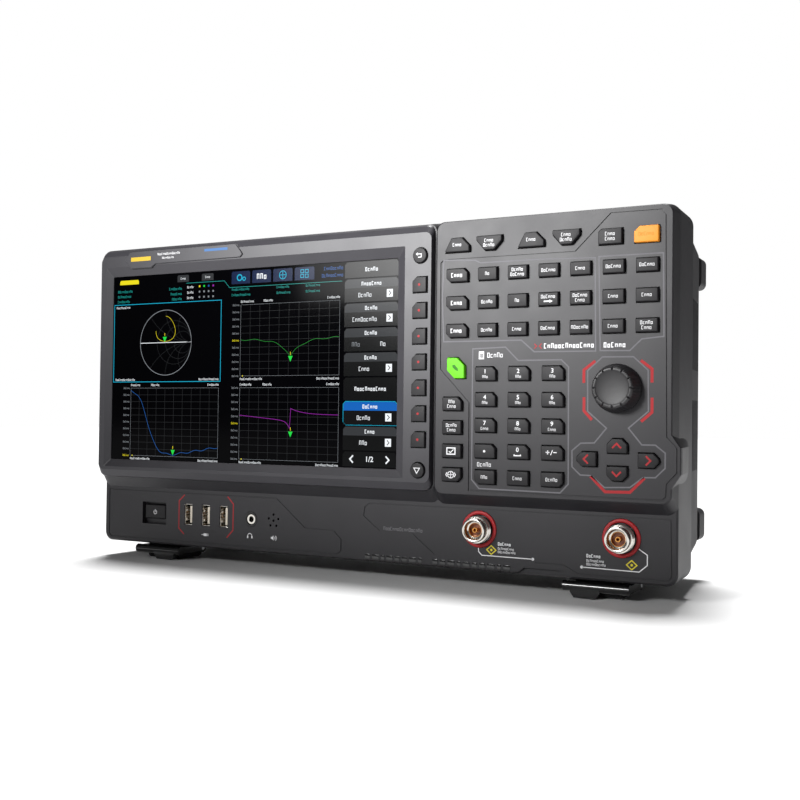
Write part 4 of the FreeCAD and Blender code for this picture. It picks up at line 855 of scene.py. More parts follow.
class ANALYZER_OT_sockets(bpy.types.Operator):
    """USB sockets with tongue, contacts and springs, and the headphone socket"""
    bl_idname = "analyzer.sockets"
    bl_label = "Sockets"

    def execute(self, context):
        mesh = bmesh.new()
        low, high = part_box("usb_sockets")
        top, deep = low.y / MM, high.y / MM
        half_h = (high.z - low.z) / 2 / MM
        half_w, wall = USB_HALF, USB_WALL
        for x, z in solid_middles("usb_sockets"):
            for s in (-1, 1):
                block(mesh, (x + s * half_w - wall / 2 - 0.15 * s, top, z - half_h),
                      (x + s * half_w + wall / 2 - 0.15 * s, deep, z + half_h), 0.08)
                block(mesh, (x - half_w, top, z + s * half_h - wall / 2 - 0.18 * s),
                      (x + half_w, deep, z + s * half_h + wall / 2 - 0.18 * s), 0.08)
                block(mesh, (x - half_w + 0.3, top + 1.2, z + s * 3.2 - 0.9),
                      (x - half_w + 0.85, top + 7.0, z + s * 3.2 + 0.9), 0.12)
            block(mesh, (x - half_w, deep - 3.0, z - half_h), (x + half_w, deep, z + half_h), 0.0, NYLON)
            block(mesh, (x + 0.5, top + 0.8, z - half_h + 1.3), (x + 2.2, deep - 2.9, z + half_h - 1.3),
                  0.15, TONGUE)
            for k in range(SPRINGS):
                zc = z + (k - (SPRINGS - 1) / 2) * SPRING_PITCH
                block(mesh, (x + 0.36, top + 1.4, zc - 0.5), (x + 0.6, deep - 3.0, zc + 0.5), 0.06, SPRING)
        finished(mesh, "usb_sockets_detailed", [nickel(), matt_black_nylon(), gold(), ivory_nylon()], BODY,
                 ["usb_sockets"], 40)
        self.headphone_socket()
        return {"FINISHED"}

    def headphone_socket(self):
        """Black collar round a nickel sleeve, closed at the bottom."""
        jack = bmesh.new()
        x, z = middle("headphone_jack")
        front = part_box("headphone_jack")[0].y / MM
        collar = [(3.5, front + 0.7), (3.6, front + 0.15), (3.8, front), (4.7, front), (5.0, front + 0.25),
                  (5.0, front + 3.0), (3.5, front + 3.0)]
        sleeve = [(1.8, front + 9.0), (1.8, front + 0.9), (2.0, front + 0.7), (3.1, front + 0.7),
                  (3.3, front + 0.9), (3.3, front + 9.0)]
        bottom = [(0.01, front + 8.8), (1.9, front + 8.8), (1.9, front + 9.4), (0.01, front + 9.4)]
        turned(jack, x, z, collar, 48, 0, loop=True)
        turned(jack, x, z, sleeve, 40, 1, loop=True)
        turned(jack, x, z, bottom, 24, 0)
        finished(jack, "headphone_socket", [matt_black_nylon(), nickel()], BODY, ["headphone_jack"],
                 30)


# ---------------------------------------------------------------- printing on the panels
WHITE, GREY, RED, YELLOW, FAINT = range(5)     # places of the panel inks


def shifted(anchor, points):
    """Points given from an anchor, in panel millimetres."""
    return [(anchor[0] + x, anchor[1] + z) for x, z in points]


SETUP_OUTLINE = [(-46.2, 25.7), (-26.3, 24.5), (-22.8, 22.8), (13.4, 22.7), (45.3, 21.6), (46.0, -29.4),
                 (10.5, -29.1), (2.7, -22.4), (-45.7, -22.2), (-46.9, 2.4)]
SYSTEM_OUTLINE = [(-17.8, 22.1), (17.3, 22.0), (17.9, -22.3), (6.1, -23.4), (-0.4, -29.5), (-16.7, -29.2)]
ENTRY_OUTLINE = [(-29.1, 44.0), (-8.8, 44.6), (-1.0, 36.9), (24.5, 36.9), (28.7, 32.9), (29.1, -31.7),
                 (24.5, -36.7), (-24.3, -36.3), (-29.0, -31.3)]
KNOB_OUTLINE = [(-8.5, 17.2), (8.5, 17.0), (16.5, 9.7), (16.8, -12.2), (6.1, -21.3), (13.4, -30.1),
                (20.7, -30.1), (25.9, -34.2), (25.9, -42.2), (20.8, -47.3), (14.2, -47.5), (7.2, -53.0),
                (-6.8, -53.6), (-14.4, -47.4), (-20.5, -47.3), (-25.2, -43.0), (-25.3, -34.1),
                (-20.4, -29.9), (-12.7, -29.6), (-6.0, -21.5), (-16.6, -12.4), (-16.8, 9.8)]
KNOB_ACCENTS = [
    [(-12.5, 15.0), (-18.9, 10.2), (-18.9, 3.1)],
    [(12.5, 15.0), (18.6, 10.3), (18.6, 3.1)],
    [(-18.7, -4.7), (-18.7, -12.1), (-14.2, -17.1)],
    [(18.7, -4.9), (18.7, -12.7), (12.9, -17.7)],
    [(-14.7, -47.7), (-6.5, -55.9), (7.2, -55.6), (15.0, -47.7)],
]
USB_BRACKETS = [[(-18.0, 13.1), (-22.8, 8.8), (-22.8, -9.7), (-18.3, -13.5)],
                [(18.0, 13.4), (22.7, 8.8), (22.6, -8.6), (17.6, -13.7)]]


def caution_diamond(marks, x, z):
    """Outlined diamond with a dot."""
    marks.line([(x, z + 2.5), (x - 2.9, z), (x, z - 2.5), (x + 2.9, z)], 0.6, YELLOW, closed=True)
    marks.disc(x, z, 0.7, YELLOW)


def port_note(marks, port, line, diamond, words):
    """Leader line from a port to a dot at its end, with a diamond and three small stand-in lines."""
    marks.line(shifted(port, line), 0.5, WHITE)
    marks.disc(*shifted(port, [line[-1]])[0], 0.85, WHITE)
    caution_diamond(marks, *shifted(port, [diamond])[0])
    x, z = shifted(port, [words])[0]
    marks.word(x, z + 4.6, 6, 1.9, WHITE, bold=True, align="left")
    marks.word(x, z + 2.0, 10, 1.4, WHITE, align="left")
    marks.word(x, z, 11, 1.4, WHITE, align="left")


class ANALYZER_OT_printing(bpy.types.Operator):
    """Outlines, accents, icons and stand-in labels printed on the front"""
    bl_idname = "analyzer.printing"
    bl_label = "Printing"

    def execute(self, context):
        inks = [ink("white", colours().legend), ink("grey", colours().outline),
                ink("red", colours().accent), ink("yellow", colours().caution),
                ink("faint", linear("#6d6c6f"))]
        width, accent = sizes().outline / MM, sizes().accent / MM
        setup, system = middle("measure_keys_row_2"), middle("system_keys_row_2")
        entry = middle("number_keys_row_3")
        field = Marks(FACE_Y)
        for anchor, outline in ((setup, SETUP_OUTLINE), (system, SYSTEM_OUTLINE), (entry, ENTRY_OUTLINE),
                                (KNOB_AT, KNOB_OUTLINE)):
            field.line(shifted(anchor, outline), width, GREY, closed=True)
        for points in KNOB_ACCENTS:
            field.line(shifted(KNOB_AT, points), accent, RED)
        field.word(*shifted(setup, [(30.6, -26.0)])[0], 14, 2.9, WHITE, bold=True)
        field.word(*shifted(system, [(-8.8, -26.2)])[0], 6, 2.9, WHITE, bold=True)
        field.word(*shifted(entry, [(-15.2, 40.2)])[0], 5, 2.8, WHITE)
        field.word(*shifted(entry, [(-21.3, -22.4)])[0], 5, 2.5, WHITE)
        self.calculator(field, *shifted(entry, [(-23.6, 40.2)])[0])
        for k, s in ((0, 1), (1, -1)):
            x, z = shifted(setup, [(11.2 + 3.0 * k, -26.0)])[0]
            chevron(field, x, z, (s, 0), 1.6, 0.55, RED)
        finished(field.mesh, "field_printing", inks, BODY, smooth_angle=20)
        lower = Marks(LOWER_Y)
        usb = middle("usb_sockets")
        for points in USB_BRACKETS:
            lower.line(shifted(usb, points), 0.75, RED)
        ports = solid_middles("port_rings")
        port_note(lower, ports[0], [(-0.5, -10.9), (-0.4, -13.0), (1.7, -15.0), (33.1, -15.1)],
                  (7.6, -11.6), (11.7, -12.4))
        port_note(lower, ports[1], [(9.6, -5.2), (14.3, -8.2), (14.3, -13.8), (9.9, -17.6), (-22.3, -17.3)],
                  (5.8, -14.2), (-19.6, -15.4))
        lower.word(*shifted(ports[0], [(-50.4, -3.2)])[0], 17, 2.2, FAINT)
        self.plug_icon(lower, *shifted(usb, [(0.0, -12.9)])[0])
        self.ear_icon(lower, *shifted(middle("headphone_jack"), [(-0.7, -11.0)])[0])
        self.horn_icon(lower, *shifted(middle("speaker"), [(0.2, -11.2)])[0])
        finished(lower.mesh, "panel_printing", inks, BODY, smooth_angle=20)
        return {"FINISHED"}

    def calculator(self, marks, x, z):
        """Small calculator: an outline with rows of dots."""
        marks.line([(x - 1.4, z - 2.0), (x + 1.4, z - 2.0), (x + 1.4, z + 2.0), (x - 1.4, z + 2.0)], 0.45,
                   WHITE, closed=True)
        marks.bar(x - 1.0, z + 0.6, x + 1.0, z + 1.5, WHITE)
        for row in range(2):
            for column in range(2):
                left, low = x - 0.9 + column, z - 1.5 + row * 0.9
                marks.bar(left, low, x - 0.3 + column, z - 1.0 + row * 0.9, WHITE)

    def plug_icon(self, marks, x, z):
        """Plug seen from the side: a body, two prongs and a lead."""
        marks.bar(x - 1.6, z - 0.9, x + 0.9, z + 0.9, WHITE)
        for s in (-1, 1):
            marks.bar(x + 0.9, z + s * 0.5 - 0.18, x + 2.6, z + s * 0.5 + 0.18, WHITE)
        marks.bar(x - 3.4, z - 0.2, x - 1.6, z + 0.2, WHITE)

    def ear_icon(self, marks, x, z):
        """Headphones: a bow and two cups."""
        marks.ring(x, z, 1.7, 0.45, WHITE, 14, 0, 180)
        for s in (-1, 1):
            marks.bar(x + s * 1.7 - 0.5, z - 1.4, x + s * 1.7 + 0.5, z + 0.1, WHITE)

    def horn_icon(self, marks, x, z):
        """Loudspeaker with two sound arcs."""
        marks.shape([(x - 2.0, z - 0.6), (x - 1.1, z - 0.6), (x, z - 1.6), (x, z + 1.6), (x - 1.1, z + 0.6),
                     (x - 2.0, z + 0.6)], WHITE)
        for r in (1.0, 2.0):
            marks.ring(x + 0.2, z, r, 0.35, WHITE, 8, -50, 50)


# ---------------------------------------------------------------- power button, badge and relief strip
RELIEF_FROM, RELIEF_TO = 10.8, 104.6           # raised bars along the lower edge, left to right
RELIEF_LOW, RELIEF_HIGH = 11.9, 15.6
RELIEF_WIDTHS = (3.6, 4.6, 2.4, 4.2, 3.2)
RELIEF_GAP, RELIEF_BREAK = 1.5, 8              # space between bars, and the bar that is left out


class ANALYZER_OT_trim(bpy.types.Operator):
    """Power symbol, blank badge strips and the row of raised bars along the lower edge"""
    bl_idname = "analyzer.trim"
    bl_label = "Trim"

    def execute(self, context):
        white = ink("white", colours().legend)
        button = Marks(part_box("power_button")[0].y / MM)
        x, z = middle("power_button")
        button.ring(x, z - 0.3, 1.3, 0.38, 0, 20, 125, 415)
        button.bar(x - 0.19, z - 0.2, x + 0.19, z + 1.6, 0)
        finished(button.mesh, "power_symbol", [white], "power_button")
        low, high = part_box("nameplate")
        badge = Marks(low.y / MM)
        zc = (low.z + high.z) / 2 / MM
        left = low.x / MM
        badge.bar(left + 5.5, zc - 0.9, left + 23.0, zc + 1.9, 0)
        badge.word(left + 29.0, zc + 2.9, 17, 1.6, 1, align="left")
        badge.word(left + 33.0, zc + 0.2, 11, 1.3, 1, align="left")
        badge.bar(left + 69.0, zc + 2.2, left + 88.0, zc + 3.9, 2)
        inks = [ink("ochre", linear("#b99a2c")), white, ink("slate_blue", linear("#3c5f8c"))]
        finished(badge.mesh, "badge_strips", inks, BODY)
        strip = bmesh.new()
        k, left = 0, RELIEF_FROM
        while left < RELIEF_TO:
            wide = RELIEF_WIDTHS[k % len(RELIEF_WIDTHS)]
            if k != RELIEF_BREAK:
                block(strip, (left, LOWER_Y - 0.25, RELIEF_LOW),
                      (left + wide, LOWER_Y + 0.3, RELIEF_HIGH), 0.12)
            left += wide + RELIEF_GAP
            k += 1
        finished(strip, "relief_strip", [gloss_abs()], BODY)
        return {"FINISHED"}


# ---------------------------------------------------------------- picture on the display
SCREEN_INKS = {
    "white": ("#f2f6fa", 1.0), "teal": ("#1f9d94", 0.9), "cyan": ("#19b3d6", 0.9),
    "grey": ("#8f9499", 0.8), "dim": ("#3a3c3e", 0.7), "yellow": ("#f0e020", 0.9),
    "green": ("#22e04a", 0.9), "blue": ("#1f5fae", 0.8), "magenta": ("#a02ab0", 0.8),
    "tile": ("#0b0c0d", 0.8), "title": ("#3a3c3f", 0.8), "navy": ("#06204a", 0.8),
    "hot": ("#0f5fb4", 1.0), "trace": ("#1d7d2a", 1.0),
}
SCREEN_ORDER = list(SCREEN_INKS)


class Picture(Marks):
    """Marks on the glass, placed from its top left corner in millimetres across and down."""

    def __init__(self, level):
        super().__init__(GLASS_LOW.y / MM, lift=LAYER * (1 + level), sunk=0.0)
        self.left = GLASS_LOW.x / MM
        self.top = GLASS_HIGH.z / MM

    def at(self, across, down):
        return self.left + across, self.top - down

    def tile(self, across, down, wide, high, name, cut=0.0):
        """A filled tile with its top corners cut."""
        x0, z1 = self.at(across, down)
        x1, z0 = x0 + wide, z1 - high
        corners = [(x1, z1), (x0, z1)]
        if cut:
            corners = [(x1, z1 - cut), (x1 - cut, z1), (x0 + cut, z1), (x0, z1 - cut)]
        self.shape([(x0, z0), (x1, z0)] + corners, SCREEN_ORDER.index(name))

    def stroke(self, points, width, name, closed=False):
        self.line([self.at(*p) for p in points], width, SCREEN_ORDER.index(name), closed)

    def frame_line(self, across, down, wide, high, width, name):
        right, low = across + wide, down + high
        self.stroke([(across, down), (right, down), (right, low), (across, low)], width, name, closed=True)

    def label(self, across, down, letters, height, name, align="left", bold=False):
        self.word(*self.at(across, down), letters, height, SCREEN_ORDER.index(name), bold, align)

    def number(self, across, down, text, height, name):
        self.figure(text, *self.at(across, down), height, SCREEN_ORDER.index(name))


PLOT_LEFT, PLOT_TOP = 109.5, 23.5      # upper right grid, from the corner of the glass
PLOT_WIDE, PLOT_HIGH = 75.5, 46.5
LOWER_PLOTS = 54.2                     # lower grids below the upper ones
LOWER_LEFT = 16.7                      # lower left grid
TRACE_STEPS = 96


def grid(picture, across, down):
    """Ten by ten graticule in its frame."""
    for k in range(11):
        x = across + PLOT_WIDE * k / 10
        y = down + PLOT_HIGH * k / 10
        picture.stroke([(x, down), (x, down + PLOT_HIGH)], 0.16, "dim")
        picture.stroke([(across, y), (across + PLOT_WIDE, y)], 0.16, "dim")
    picture.frame_line(across, down, PLOT_WIDE, PLOT_HIGH, 0.2, "grey")


def scale_labels(picture, across, down, marked):
    """Stand-ins for the scale left of a grid, one of them marked."""
    for k in range(11):
        name = "yellow" if k == marked else "grey"
        picture.label(across - 1.4, down + PLOT_HIGH * k / 10, 6, 1.25, name, align="right")


def trace(picture, across, down, curve, name):
    """A measured curve: curve gives its depth below the top of the grid as a share, for a share across."""
    shares = [k / TRACE_STEPS for k in range(TRACE_STEPS + 1)]
    picture.stroke([(across + PLOT_WIDE * t, down + PLOT_HIGH * curve(t)) for t in shares], 0.28, name)


def marker(picture, across, down):
    """Marker flag: a triangle that stands on the curve, with its number above."""
    picture.shape([picture.at(across - 1.7, down - 3.6), picture.at(across + 1.7, down - 3.6),
                   picture.at(across, down)], SCREEN_ORDER.index("green"))
    picture.number(across, down - 5.1, "1", 2.0, "yellow")


def plot_words(picture, across, down, first):
    """Heading and footing of a plot."""
    picture.label(across, down - 2.1, first, 1.45, "white")
    picture.label(across + 18, down - 2.1, 7, 1.45, "white")
    picture.label(across + PLOT_WIDE, down - 2.1, 9, 1.45, "white", align="right")
    picture.label(across, down + PLOT_HIGH + 2.0, 17, 1.45, "white")
    picture.label(across + PLOT_WIDE, down + PLOT_HIGH + 2.0, 16, 1.45, "white", align="right")
    picture.disc(*picture.at(across + 2.0, down + PLOT_HIGH), 0.45, SCREEN_ORDER.index("yellow"), 10)


def return_loss(t):
    """Flat start, a pointed dip and a recovery."""
    return 0.49 + 0.25 * exp(-abs(t - 0.52) / 0.11) + 0.01 * sin(31 * t)


def standing_wave(t):
    """Steep fall from the top left to a broad minimum."""
    return 0.01 + 0.97 / (1 + exp(-(t - 0.2) / 0.055)) - 0.25 * max(0.0, t - 0.47) + 0.012 * sin(40 * t)


def phase(t):
    """Slow fall that steepens, a sharp step up, then a slow settling."""
    if t < 0.53:
        return 0.385 + 0.14 * t + 0.1 * exp((t - 0.52) / 0.03)
    return 0.37 - 0.085 * exp(-(t - 0.53) / 0.12)


def smith_chart(picture, across, down, r):
    """Reflection chart: resistance circles and reactance arcs inside the unit circle."""
    x, z = picture.at(across, down)
    grey = SCREEN_ORDER.index("grey")
    picture.ring(x, z, r, 0.4, grey, 72)
    picture.line([(x - r, z), (x + r, z)], 0.4, SCREEN_ORDER.index("white"))
    for resistance in (0.5, 1.0, 2.0):
        inner = r / (1 + resistance)
        picture.ring(x + r - inner, z, inner, 0.14, SCREEN_ORDER.index("dim"), 48)
    for reactance in (0.5, 1.0, 2.0):
        arc = r / reactance
        for side in (-1, 1):
            inside = []
            for k in range(121):
                a = radians(90 + 180 * k / 120)
                px, pz = r + arc * cos(a), side * arc * (1 + sin(a))
                if px * px + pz * pz <= r * r * 1.0005:
                    inside.append((x + px, z + pz))
            if len(inside) > 1:
                picture.line(inside, 0.14, SCREEN_ORDER.index("dim"))


MENU_TOPS = (0.4, 11.0, 26.0, 41.3, 56.4, 71.7, 86.4, 101.7, 117.2, 127.2)
MENU_WORDS = ((5,), (8, 5), (5, 9), (5, 6), (5, 4), (12,), (6, 5), (4, 3), (3,))
MENU_SWITCH, MENU_PLAIN, MENU_LIT, MENU_PAGER = 3, 5, 6, 8
MENU_GAP = 0.8


def menu_arrow(faces, across, down):
    """White square button with a dark arrow head."""
    faces.tile(across - 2.1, down - 2.4, 4.2, 4.8, "white")
    x, z = faces.at(across, down)
    faces.front -= LAYER
    chevron(faces, x, z, (1, 0), 1.7, 0.5, SCREEN_ORDER.index("tile"))
    faces.front += LAYER


def menu_column(picture, faces, left, wide):
    """Soft menu at the right: dark tiles with title bars, one of them lit."""
    middle_x = left + wide / 2
    for k, (top, following) in enumerate(zip(MENU_TOPS, MENU_TOPS[1:])):
        high = following - top - MENU_GAP
        words = MENU_WORDS[k]
        picture.tile(left, top, wide, high, "tile", cut=1.6)
        if k in (0, MENU_PLAIN):
            faces.label(middle_x, top + high / 2, words[0], 2.6, "white", "middle", bold=True)
        elif k == MENU_PAGER:
            faces.number(middle_x, top + high / 2, "1/2", 3.2, "white")
            for side in (-1, 1):
                chevron(faces, *faces.at(middle_x + side * 12.5, top + high / 2), (side, 0), 2.6, 0.9, 0)
        else:
            faces.tile(left + 0.2, top + 0.2, wide - 0.4, 5.4, "hot" if k == MENU_LIT else "title", cut=1.6)
            faces.front -= LAYER
            faces.label(middle_x, top + 3.1, words[0], 2.5, "white", "middle", bold=True)
            faces.front += LAYER
            if k == MENU_SWITCH:
                faces.label(middle_x - 10.5, top + 10.0, 3, 2.8, "grey", "middle")
                faces.label(middle_x + 8.5, top + 10.0, 2, 2.8, "white", "middle")
            else:
                faces.label(middle_x - 4.5, top + 10.0, words[1], 2.7, "white", "middle")
                menu_arrow(faces, left + wide - 6.0, top + 9.6)
    lit_top, lit_end = MENU_TOPS[MENU_LIT], MENU_TOPS[MENU_LIT + 1] - MENU_GAP
    right = left + wide
    picture.stroke([(left + 1.6, lit_top), (right - 1.6, lit_top), (right, lit_top + 1.6),
                    (right, lit_end), (left + 2.0, lit_end), (left, lit_end - 2.0), (left, lit_top + 1.6)],
                   0.4, "cyan", closed=True)


def header(picture, faces):
    """Status rows over the plots: readings, coloured squares and four icon tiles."""
    for row in range(3):
        down = 10.4 + 3.5 * row
        picture.label(3.4, down, 11 - row, 1.7, "teal")
        picture.label(60.0, down, 9 - row, 1.7, "teal", align="right")
        picture.label(64.8, 9.8 + 3.6 * row, 5, 1.5, "white")
        for k, name in enumerate(("yellow", "green", "blue", "magenta")):
            picture.tile(74.6 + 3.8 * k, 9.0 + 3.6 * row, 1.2, 1.2, name if row == 0 else "grey")
    picture.tile(5.2, 2.6, 17.0, 3.0, "yellow", cut=0.8)
    for left in (56.3, 77.0):
        picture.tile(left, 1.4, 9.7, 4.6, "title", cut=0.6)
        faces.label(left + 4.8, 3.7, 4, 1.5, "white", "middle")
    for k in range(4):
        picture.tile(101.7 + 16.5 * k, 1.4, 14.8, 8.2, "navy", cut=0.8)
        x, z = picture.at(109.1 + 16.5 * k, 5.5)
        cyan = SCREEN_ORDER.index("cyan")
        if k == 0:
            faces.ring(x - 1.0, z, 1.9, 0.8, cyan, 16)
            faces.ring(x + 2.6, z - 0.9, 1.1, 0.6, cyan, 14)
        elif k == 1:
            faces.word(x, z, 3, 3.8, SCREEN_ORDER.index("white"), True)
        elif k == 2:
            faces.ring(x, z, 2.6, 0.45, cyan, 24)
            faces.line([(x - 2.6, z), (x + 2.6, z)], 0.4, cyan)
            faces.line([(x, z - 2.6), (x, z + 2.6)], 0.4, cyan)
        else:
            for dx in (-1.7, 1.7):
                for dz in (-1.5, 1.5):
                    faces.line([(x + dx - 1.1, z + dz - 1.0), (x + dx + 1.1, z + dz - 1.0),
                                (x + dx + 1.1, z + dz + 1.0), (x + dx - 1.1, z + dz + 1.0)], 0.4, cyan,
                               closed=True)
    for row in range(2):
        picture.label(187.0, 3.3 + 4.4 * row, 9 + row, 2.2, "blue", align="right")
        for left, letters in ((102.0, 13 + row), (137.5, 9 + row), (159.7, 10)):
            picture.label(left, 13.2 + 3.6 * row, letters, 1.5, "teal")
    picture.stroke([(64.0, 7.0), (95.8, 7.0), (100.0, 11.7), (186.5, 11.7)], 0.3, "teal")


class ANALYZER_OT_display(bpy.types.Operator):
    """Picture on the display: four plots, status rows and the soft menu"""
    bl_idname = "analyzer.display"
    bl_label = "Display picture"

    def execute(self, context):
        tiles, faces = Picture(0), Picture(1)
        upper, lower = PLOT_TOP, PLOT_TOP + LOWER_PLOTS
        for across, down in ((PLOT_LEFT, upper), (LOWER_LEFT, lower), (PLOT_LEFT, lower)):
            grid(tiles, across, down)
        scale_labels(tiles, PLOT_LEFT, upper, 5)
        scale_labels(tiles, LOWER_LEFT, lower, 10)
        scale_labels(tiles, PLOT_LEFT, lower, 5)
        plot_words(tiles, PLOT_LEFT, upper, 10)
        plot_words(tiles, LOWER_LEFT, lower, 8)
        plot_words(tiles, PLOT_LEFT, lower, 9)
        tiles.frame_line(0.5, 19.6, 93.0, 53.8, 0.4, "cyan")
        tiles.label(2.4, 21.6, 12, 1.45, "white")
        tiles.label(2.4, 71.9, 17, 1.45, "white")
        tiles.label(92.0, 71.9, 16, 1.45, "white", align="right")
        smith_chart(tiles, 46.7, 46.7, 22.2)
        trace(faces, PLOT_LEFT, upper, return_loss, "trace")
        trace(faces, LOWER_LEFT, lower, standing_wave, "blue")
        trace(faces, PLOT_LEFT, lower, phase, "magenta")
        turns = [2 * pi * k / 40 for k in range(30)]
        faces.stroke([(46.7 + 8.2 * sin(turn) * (1 - 0.25 * cos(turn)), 37.3 - 8.6 * cos(turn))
                      for turn in turns], 0.22, "yellow")
        marker(faces, 46.0, 46.4)
        marker(faces, PLOT_LEFT + 0.52 * PLOT_WIDE, upper + 0.81 * PLOT_HIGH)
        marker(faces, LOWER_LEFT + 0.5 * PLOT_WIDE, lower + 0.98 * PLOT_HIGH)
        marker(faces, PLOT_LEFT + 0.53 * PLOT_WIDE, lower + 0.68 * PLOT_HIGH)
        menu_column(tiles, faces, 188.4, 37.8)
        header(tiles, faces)
        materials = [glow("display_" + name, *look) for name, look in SCREEN_INKS.items()]
        finished(tiles.mesh, "display_ground", materials, BODY, smooth_angle=10)
        finished(faces.mesh, "display_marks", materials, BODY, smooth_angle=10)
        return {"FINISHED"}


# ---------------------------------------------------------------- rear panel
INLET_PROUD = 2.4                      # flange of the mains inlet, behind the panel
NETWORK_AT = (92.0, 60.0)              # middle of the network socket
JACK_WIDE, JACK_LONG = 15.2, 10.0      # a rear jack is narrower and longer than this, unlike the sockets
LUG_HALF, LUG_OUT = 0.95, 4.7          # bayonet lugs: half their width, and how far they are from the axis
LUG_START, LUG_END = 5.2, 3.3          # lugs, measured back from the tip of the jack
GUARD_RINGS = (12.0, 18.0, 24.0, 30.0)
GUARD_WIRE, GUARD_LIFT = 0.7, 0.8      # radius of the fan guard's wire, and its middle over the panel
SPOKE_HALF, SPOKE_REACH = 0.8, 34.0
GUARD_SCREW_REACH = 36.0
CONTACTS, CONTACT_PITCH = 8, 1.02      # springs of the network socket
PLATE_LOW, PLATE_HIGH = (-60.0, 92.0), (0.0, 128.0)
PLATE_THICK = 0.25
PLATE_ROWS = (14, 20, 17, 21, 12)      # stand-in letters in each row of the rating plate


class BackMarks(Marks):
    """Marks on the rear panel, drawn the right way round for someone who stands behind it."""

    def __init__(self, y, lift):
        super().__init__(y)
        self.front = y + lift
        self.back = y - 0.05

    def word(self, x, z, letters, height, ink_index=0, bold=False, align="middle"):
        first = len(self.mesh.verts)
        super().word(x, z, letters, height, ink_index, bold, align)
        self.mesh.verts.ensure_lookup_table()
        for vertex in self.mesh.verts[first:]:
            vertex.co.x = 2 * x * MM - vertex.co.x


class ANALYZER_OT_rear(bpy.types.Operator):
    """Bayonet lugs, contacts, fan guard, rating plate, rulings and labels of the rear panel"""
    bl_idname = "analyzer.rear"
    bl_label = "Rear panel"

    def execute(self, context):
        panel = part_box("mains_inlet")[1].y / MM - INLET_PROUD
        self.jacks(panel)
        self.fan_guard(panel)
        self.network_contacts(panel)
        self.printing(panel)
        return {"FINISHED"}

    def jacks(self, panel):
        """Two lugs, a washer and an insulator on each bayonet jack."""
        washer = [(4.85, panel + 2.2), (6.5, panel + 2.2), (6.7, panel + 2.5), (6.5, panel + 2.8),
                  (4.85, panel + 2.8)]
        insulator = [(1.35, panel + 2.3), (3.55, panel + 2.3), (3.55, panel + 4.2), (1.35, panel + 4.2)]
        metal, nylon = bmesh.new(), bmesh.new()
        for points in loose_solids("rear_connectors"):
            xs, zs = [p.x for p in points], [p.z for p in points]
            tip = max(p.y for p in points)
            if max(xs) - min(xs) >= JACK_WIDE or tip <= panel + JACK_LONG:
                continue
            x, z = (min(xs) + max(xs)) / 2, (min(zs) + max(zs)) / 2
            for side in (-1, 1):
                block(metal, (x - LUG_HALF, tip - LUG_START, z + side * LUG_OUT - LUG_HALF),
                      (x + LUG_HALF, tip - LUG_END, z + side * LUG_OUT + LUG_HALF), 0.3)
            turned(metal, x, z, washer, 48, loop=True)
            turned(nylon, x, z, insulator, 36, loop=True)
        finished(metal, "rear_jack_lugs", [nickel()], BODY)
        finished(nylon, "rear_jack_insulators", [ivory_nylon()], BODY)

    def fan_guard(self, panel):
        """Steel wire rings over the fan grille, held by two flat spokes with a screw at each end."""
        x, z = middle("fan_frame")
        guard = bmesh.new()
        turns = [pi * k / 3 for k in range(6)]
        for r in GUARD_RINGS:
            wire = [(r + GUARD_WIRE * cos(turn), panel + GUARD_LIFT + GUARD_WIRE * sin(turn))
                    for turn in turns]
            turned(guard, x, z, wire, 72, loop=True)
        flat = [(w * SPOKE_HALF, panel + y) for w, y in ((-1, 1.4), (1, 1.4), (1, 2.4), (-1, 2.4))]
        screw = [(0.01, panel + 2.6), (3.0, panel + 2.4), (3.4, panel + 2.0), (3.4, panel - 0.05),
                 (0.01, panel - 0.05)]
        for angle in (45, 135):
            dx, dz = cos(radians(angle)), sin(radians(angle))
            stacked(guard, [[(x + dx * reach - dz * w, y, z + dz * reach + dx * w) for w, y in flat]
                            for reach in (-SPOKE_REACH, SPOKE_REACH)])
            for side in (-1, 1):
                out = side * GUARD_SCREW_REACH
                turned(guard, x + dx * out, z + dz * out, screw, 24)
        finished(guard, "fan_guard", [zinc_steel()], BODY, smooth_angle=40)

    def network_contacts(self, panel):
        """Gold springs in the network socket."""
        x, z = NETWORK_AT
        springs = bmesh.new()
        for k in range(CONTACTS):
            left = x - 4.1 + k * CONTACT_PITCH
            block(springs, (left, panel - 8.0, z + 2.2), (left + 0.5, panel - 1.5, z + 2.7), 0.1)
        finished(springs, "network_contacts", [gold()], BODY, smooth_angle=30)

    def printing(self, panel):
        """Rulings round the jacks, stand-in labels and a silver rating plate."""
        white = ink("white", colours().legend)
        ground = BackMarks(panel, sizes().print_lift / MM)
        for left, low, right, high in ((-30, 50.5, 65, 73.5), (80, 50.5, 126, 92)):
            ground.line([(left, low), (right, low), (right, high), (left, high)], 0.6, closed=True)
        for x in (-20.0, 5.0, 30.0, 55.0):
            ground.word(x, 76.8, 6, 2.2, bold=True)
        for x, z in ((92, 95), (114, 95), (140, 57)):
            ground.word(x, z, 5, 2.2)
        finished(ground.mesh, "rear_printing", [white], BODY, smooth_angle=20)
        plate = BackMarks(panel, PLATE_THICK)
        plate.bar(*PLATE_LOW, *PLATE_HIGH)
        plate.front += LAYER
        for row, letters in enumerate(PLATE_ROWS):
            plate.word(-4, 122 - 6.2 * row, letters, 2.0, 1, align="left")
        finished(plate.mesh, "rating_plate", [aluminium(), ink("black", linear("#101012"))], BODY,
                 smooth_angle=20)


